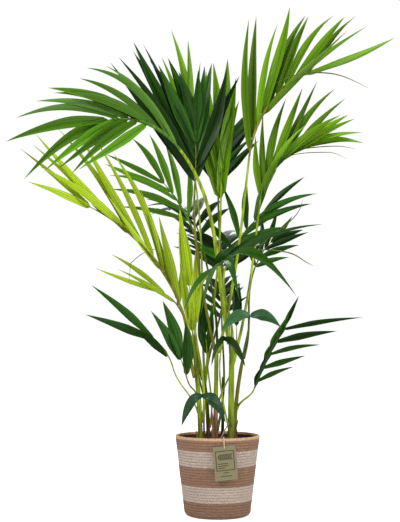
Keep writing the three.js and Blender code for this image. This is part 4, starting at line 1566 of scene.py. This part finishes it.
class PALM_OT_leaves(Operator):
    """Grows the leaflets of every frond, one piece for each leaf colour."""

    bl_idname = "palm.leaves"
    bl_label = "Leaves"

    def execute(self, context):
        choice = settings("plant")
        dry = mottled_material("leaf_dry_tip", choice.dry)
        tones = sorted({frond["tone"] for frond in FRONDS.values()})
        for tone in tones:
            names = [name for name, frond in FRONDS.items() if frond["tone"] == tone]
            bm = new_mesh()
            for name in names:
                dice = random.Random(FRONDS[name]["seed"])
                leaflets = placed_leaflets(name)
                if name in FULLER_FRONDS:
                    leaflets += in_between(leaflets)
                shades = LIGHTER_SHADES if name in LIGHTER_FRONDS else DARKER_SHADES
                for leaflet in leaflets:
                    leaflet["shades"] = shades
                    add_leaflet(bm, FRONDS[name], leaflet, dice, len(SHADES) + 1)
            bmesh.ops.remove_doubles(bm, verts=bm.verts, dist=LEAF_MERGE)
            colour = getattr(choice, tone)
            spread = choice.shade_spread * SPREAD_SHARES.get(tone, 1)
            skins = [
                leaf_material(f"leaf_{tone}_{number}", colour, 1 + shade * spread)
                for number, shade in enumerate(SHADES)
            ]
            nodes = [f"frond_{name}" for name in names]
            finish_piece(bm, f"leaves_{tone}", [*skins, dry], nodes)
        return {"FINISHED"}


class PALM_PT_panel(Panel):
    """Lists the pieces and their settings."""

    bl_idname = "PALM_PT_panel"
    bl_label = "Potted Palm"
    bl_space_type = "VIEW_3D"
    bl_region_type = "UI"
    bl_category = "Palm"

    def draw(self, context):
        for label, group, operators in PANEL_SECTIONS:
            box = self.layout.box()
            box.label(text=label)
            choice = settings(group)
            for name in choice.bl_rna.properties.keys():
                if name not in ("rna_type", "name"):
                    box.prop(choice, name)
            for operator in operators:
                box.operator(operator.bl_idname)


PANEL_SECTIONS = (
    ("Stage", "stage", (PALM_OT_stage,)),
    ("Basket", "basket", (PALM_OT_basket, PALM_OT_soil, PALM_OT_tag, PALM_OT_twine)),
    ("Plant", "plant", (PALM_OT_stems, PALM_OT_stalks, PALM_OT_leaves)),
)
SETTINGS = {"basket": PALM_PG_basket, "plant": PALM_PG_plant, "stage": PALM_PG_stage}
OPERATORS = [operator for _, _, operators in PANEL_SECTIONS for operator in operators]
CLASSES = (*SETTINGS.values(), *OPERATORS, PALM_PT_panel)


def register():
    """Registers the settings, the operators and the panel."""
    for cls in CLASSES:
        bpy.utils.register_class(cls)
    for name, group in SETTINGS.items():
        setattr(bpy.types.Scene, f"palm_{name}", PointerProperty(type=group))


def unregister():
    """Takes them away again."""
    for name in SETTINGS:
        delattr(bpy.types.Scene, f"palm_{name}")
    for cls in reversed(CLASSES):
        bpy.utils.unregister_class(cls)


def main():
    """Builds the stage and every piece in order."""
    register()
    bpy.ops.palm.stage()
    bpy.ops.palm.basket()
    bpy.ops.palm.soil()
    bpy.ops.palm.tag()
    bpy.ops.palm.twine()
    bpy.ops.palm.stems()
    bpy.ops.palm.stalks()
    bpy.ops.palm.leaves()


if __name__ == "__main__":
    main()
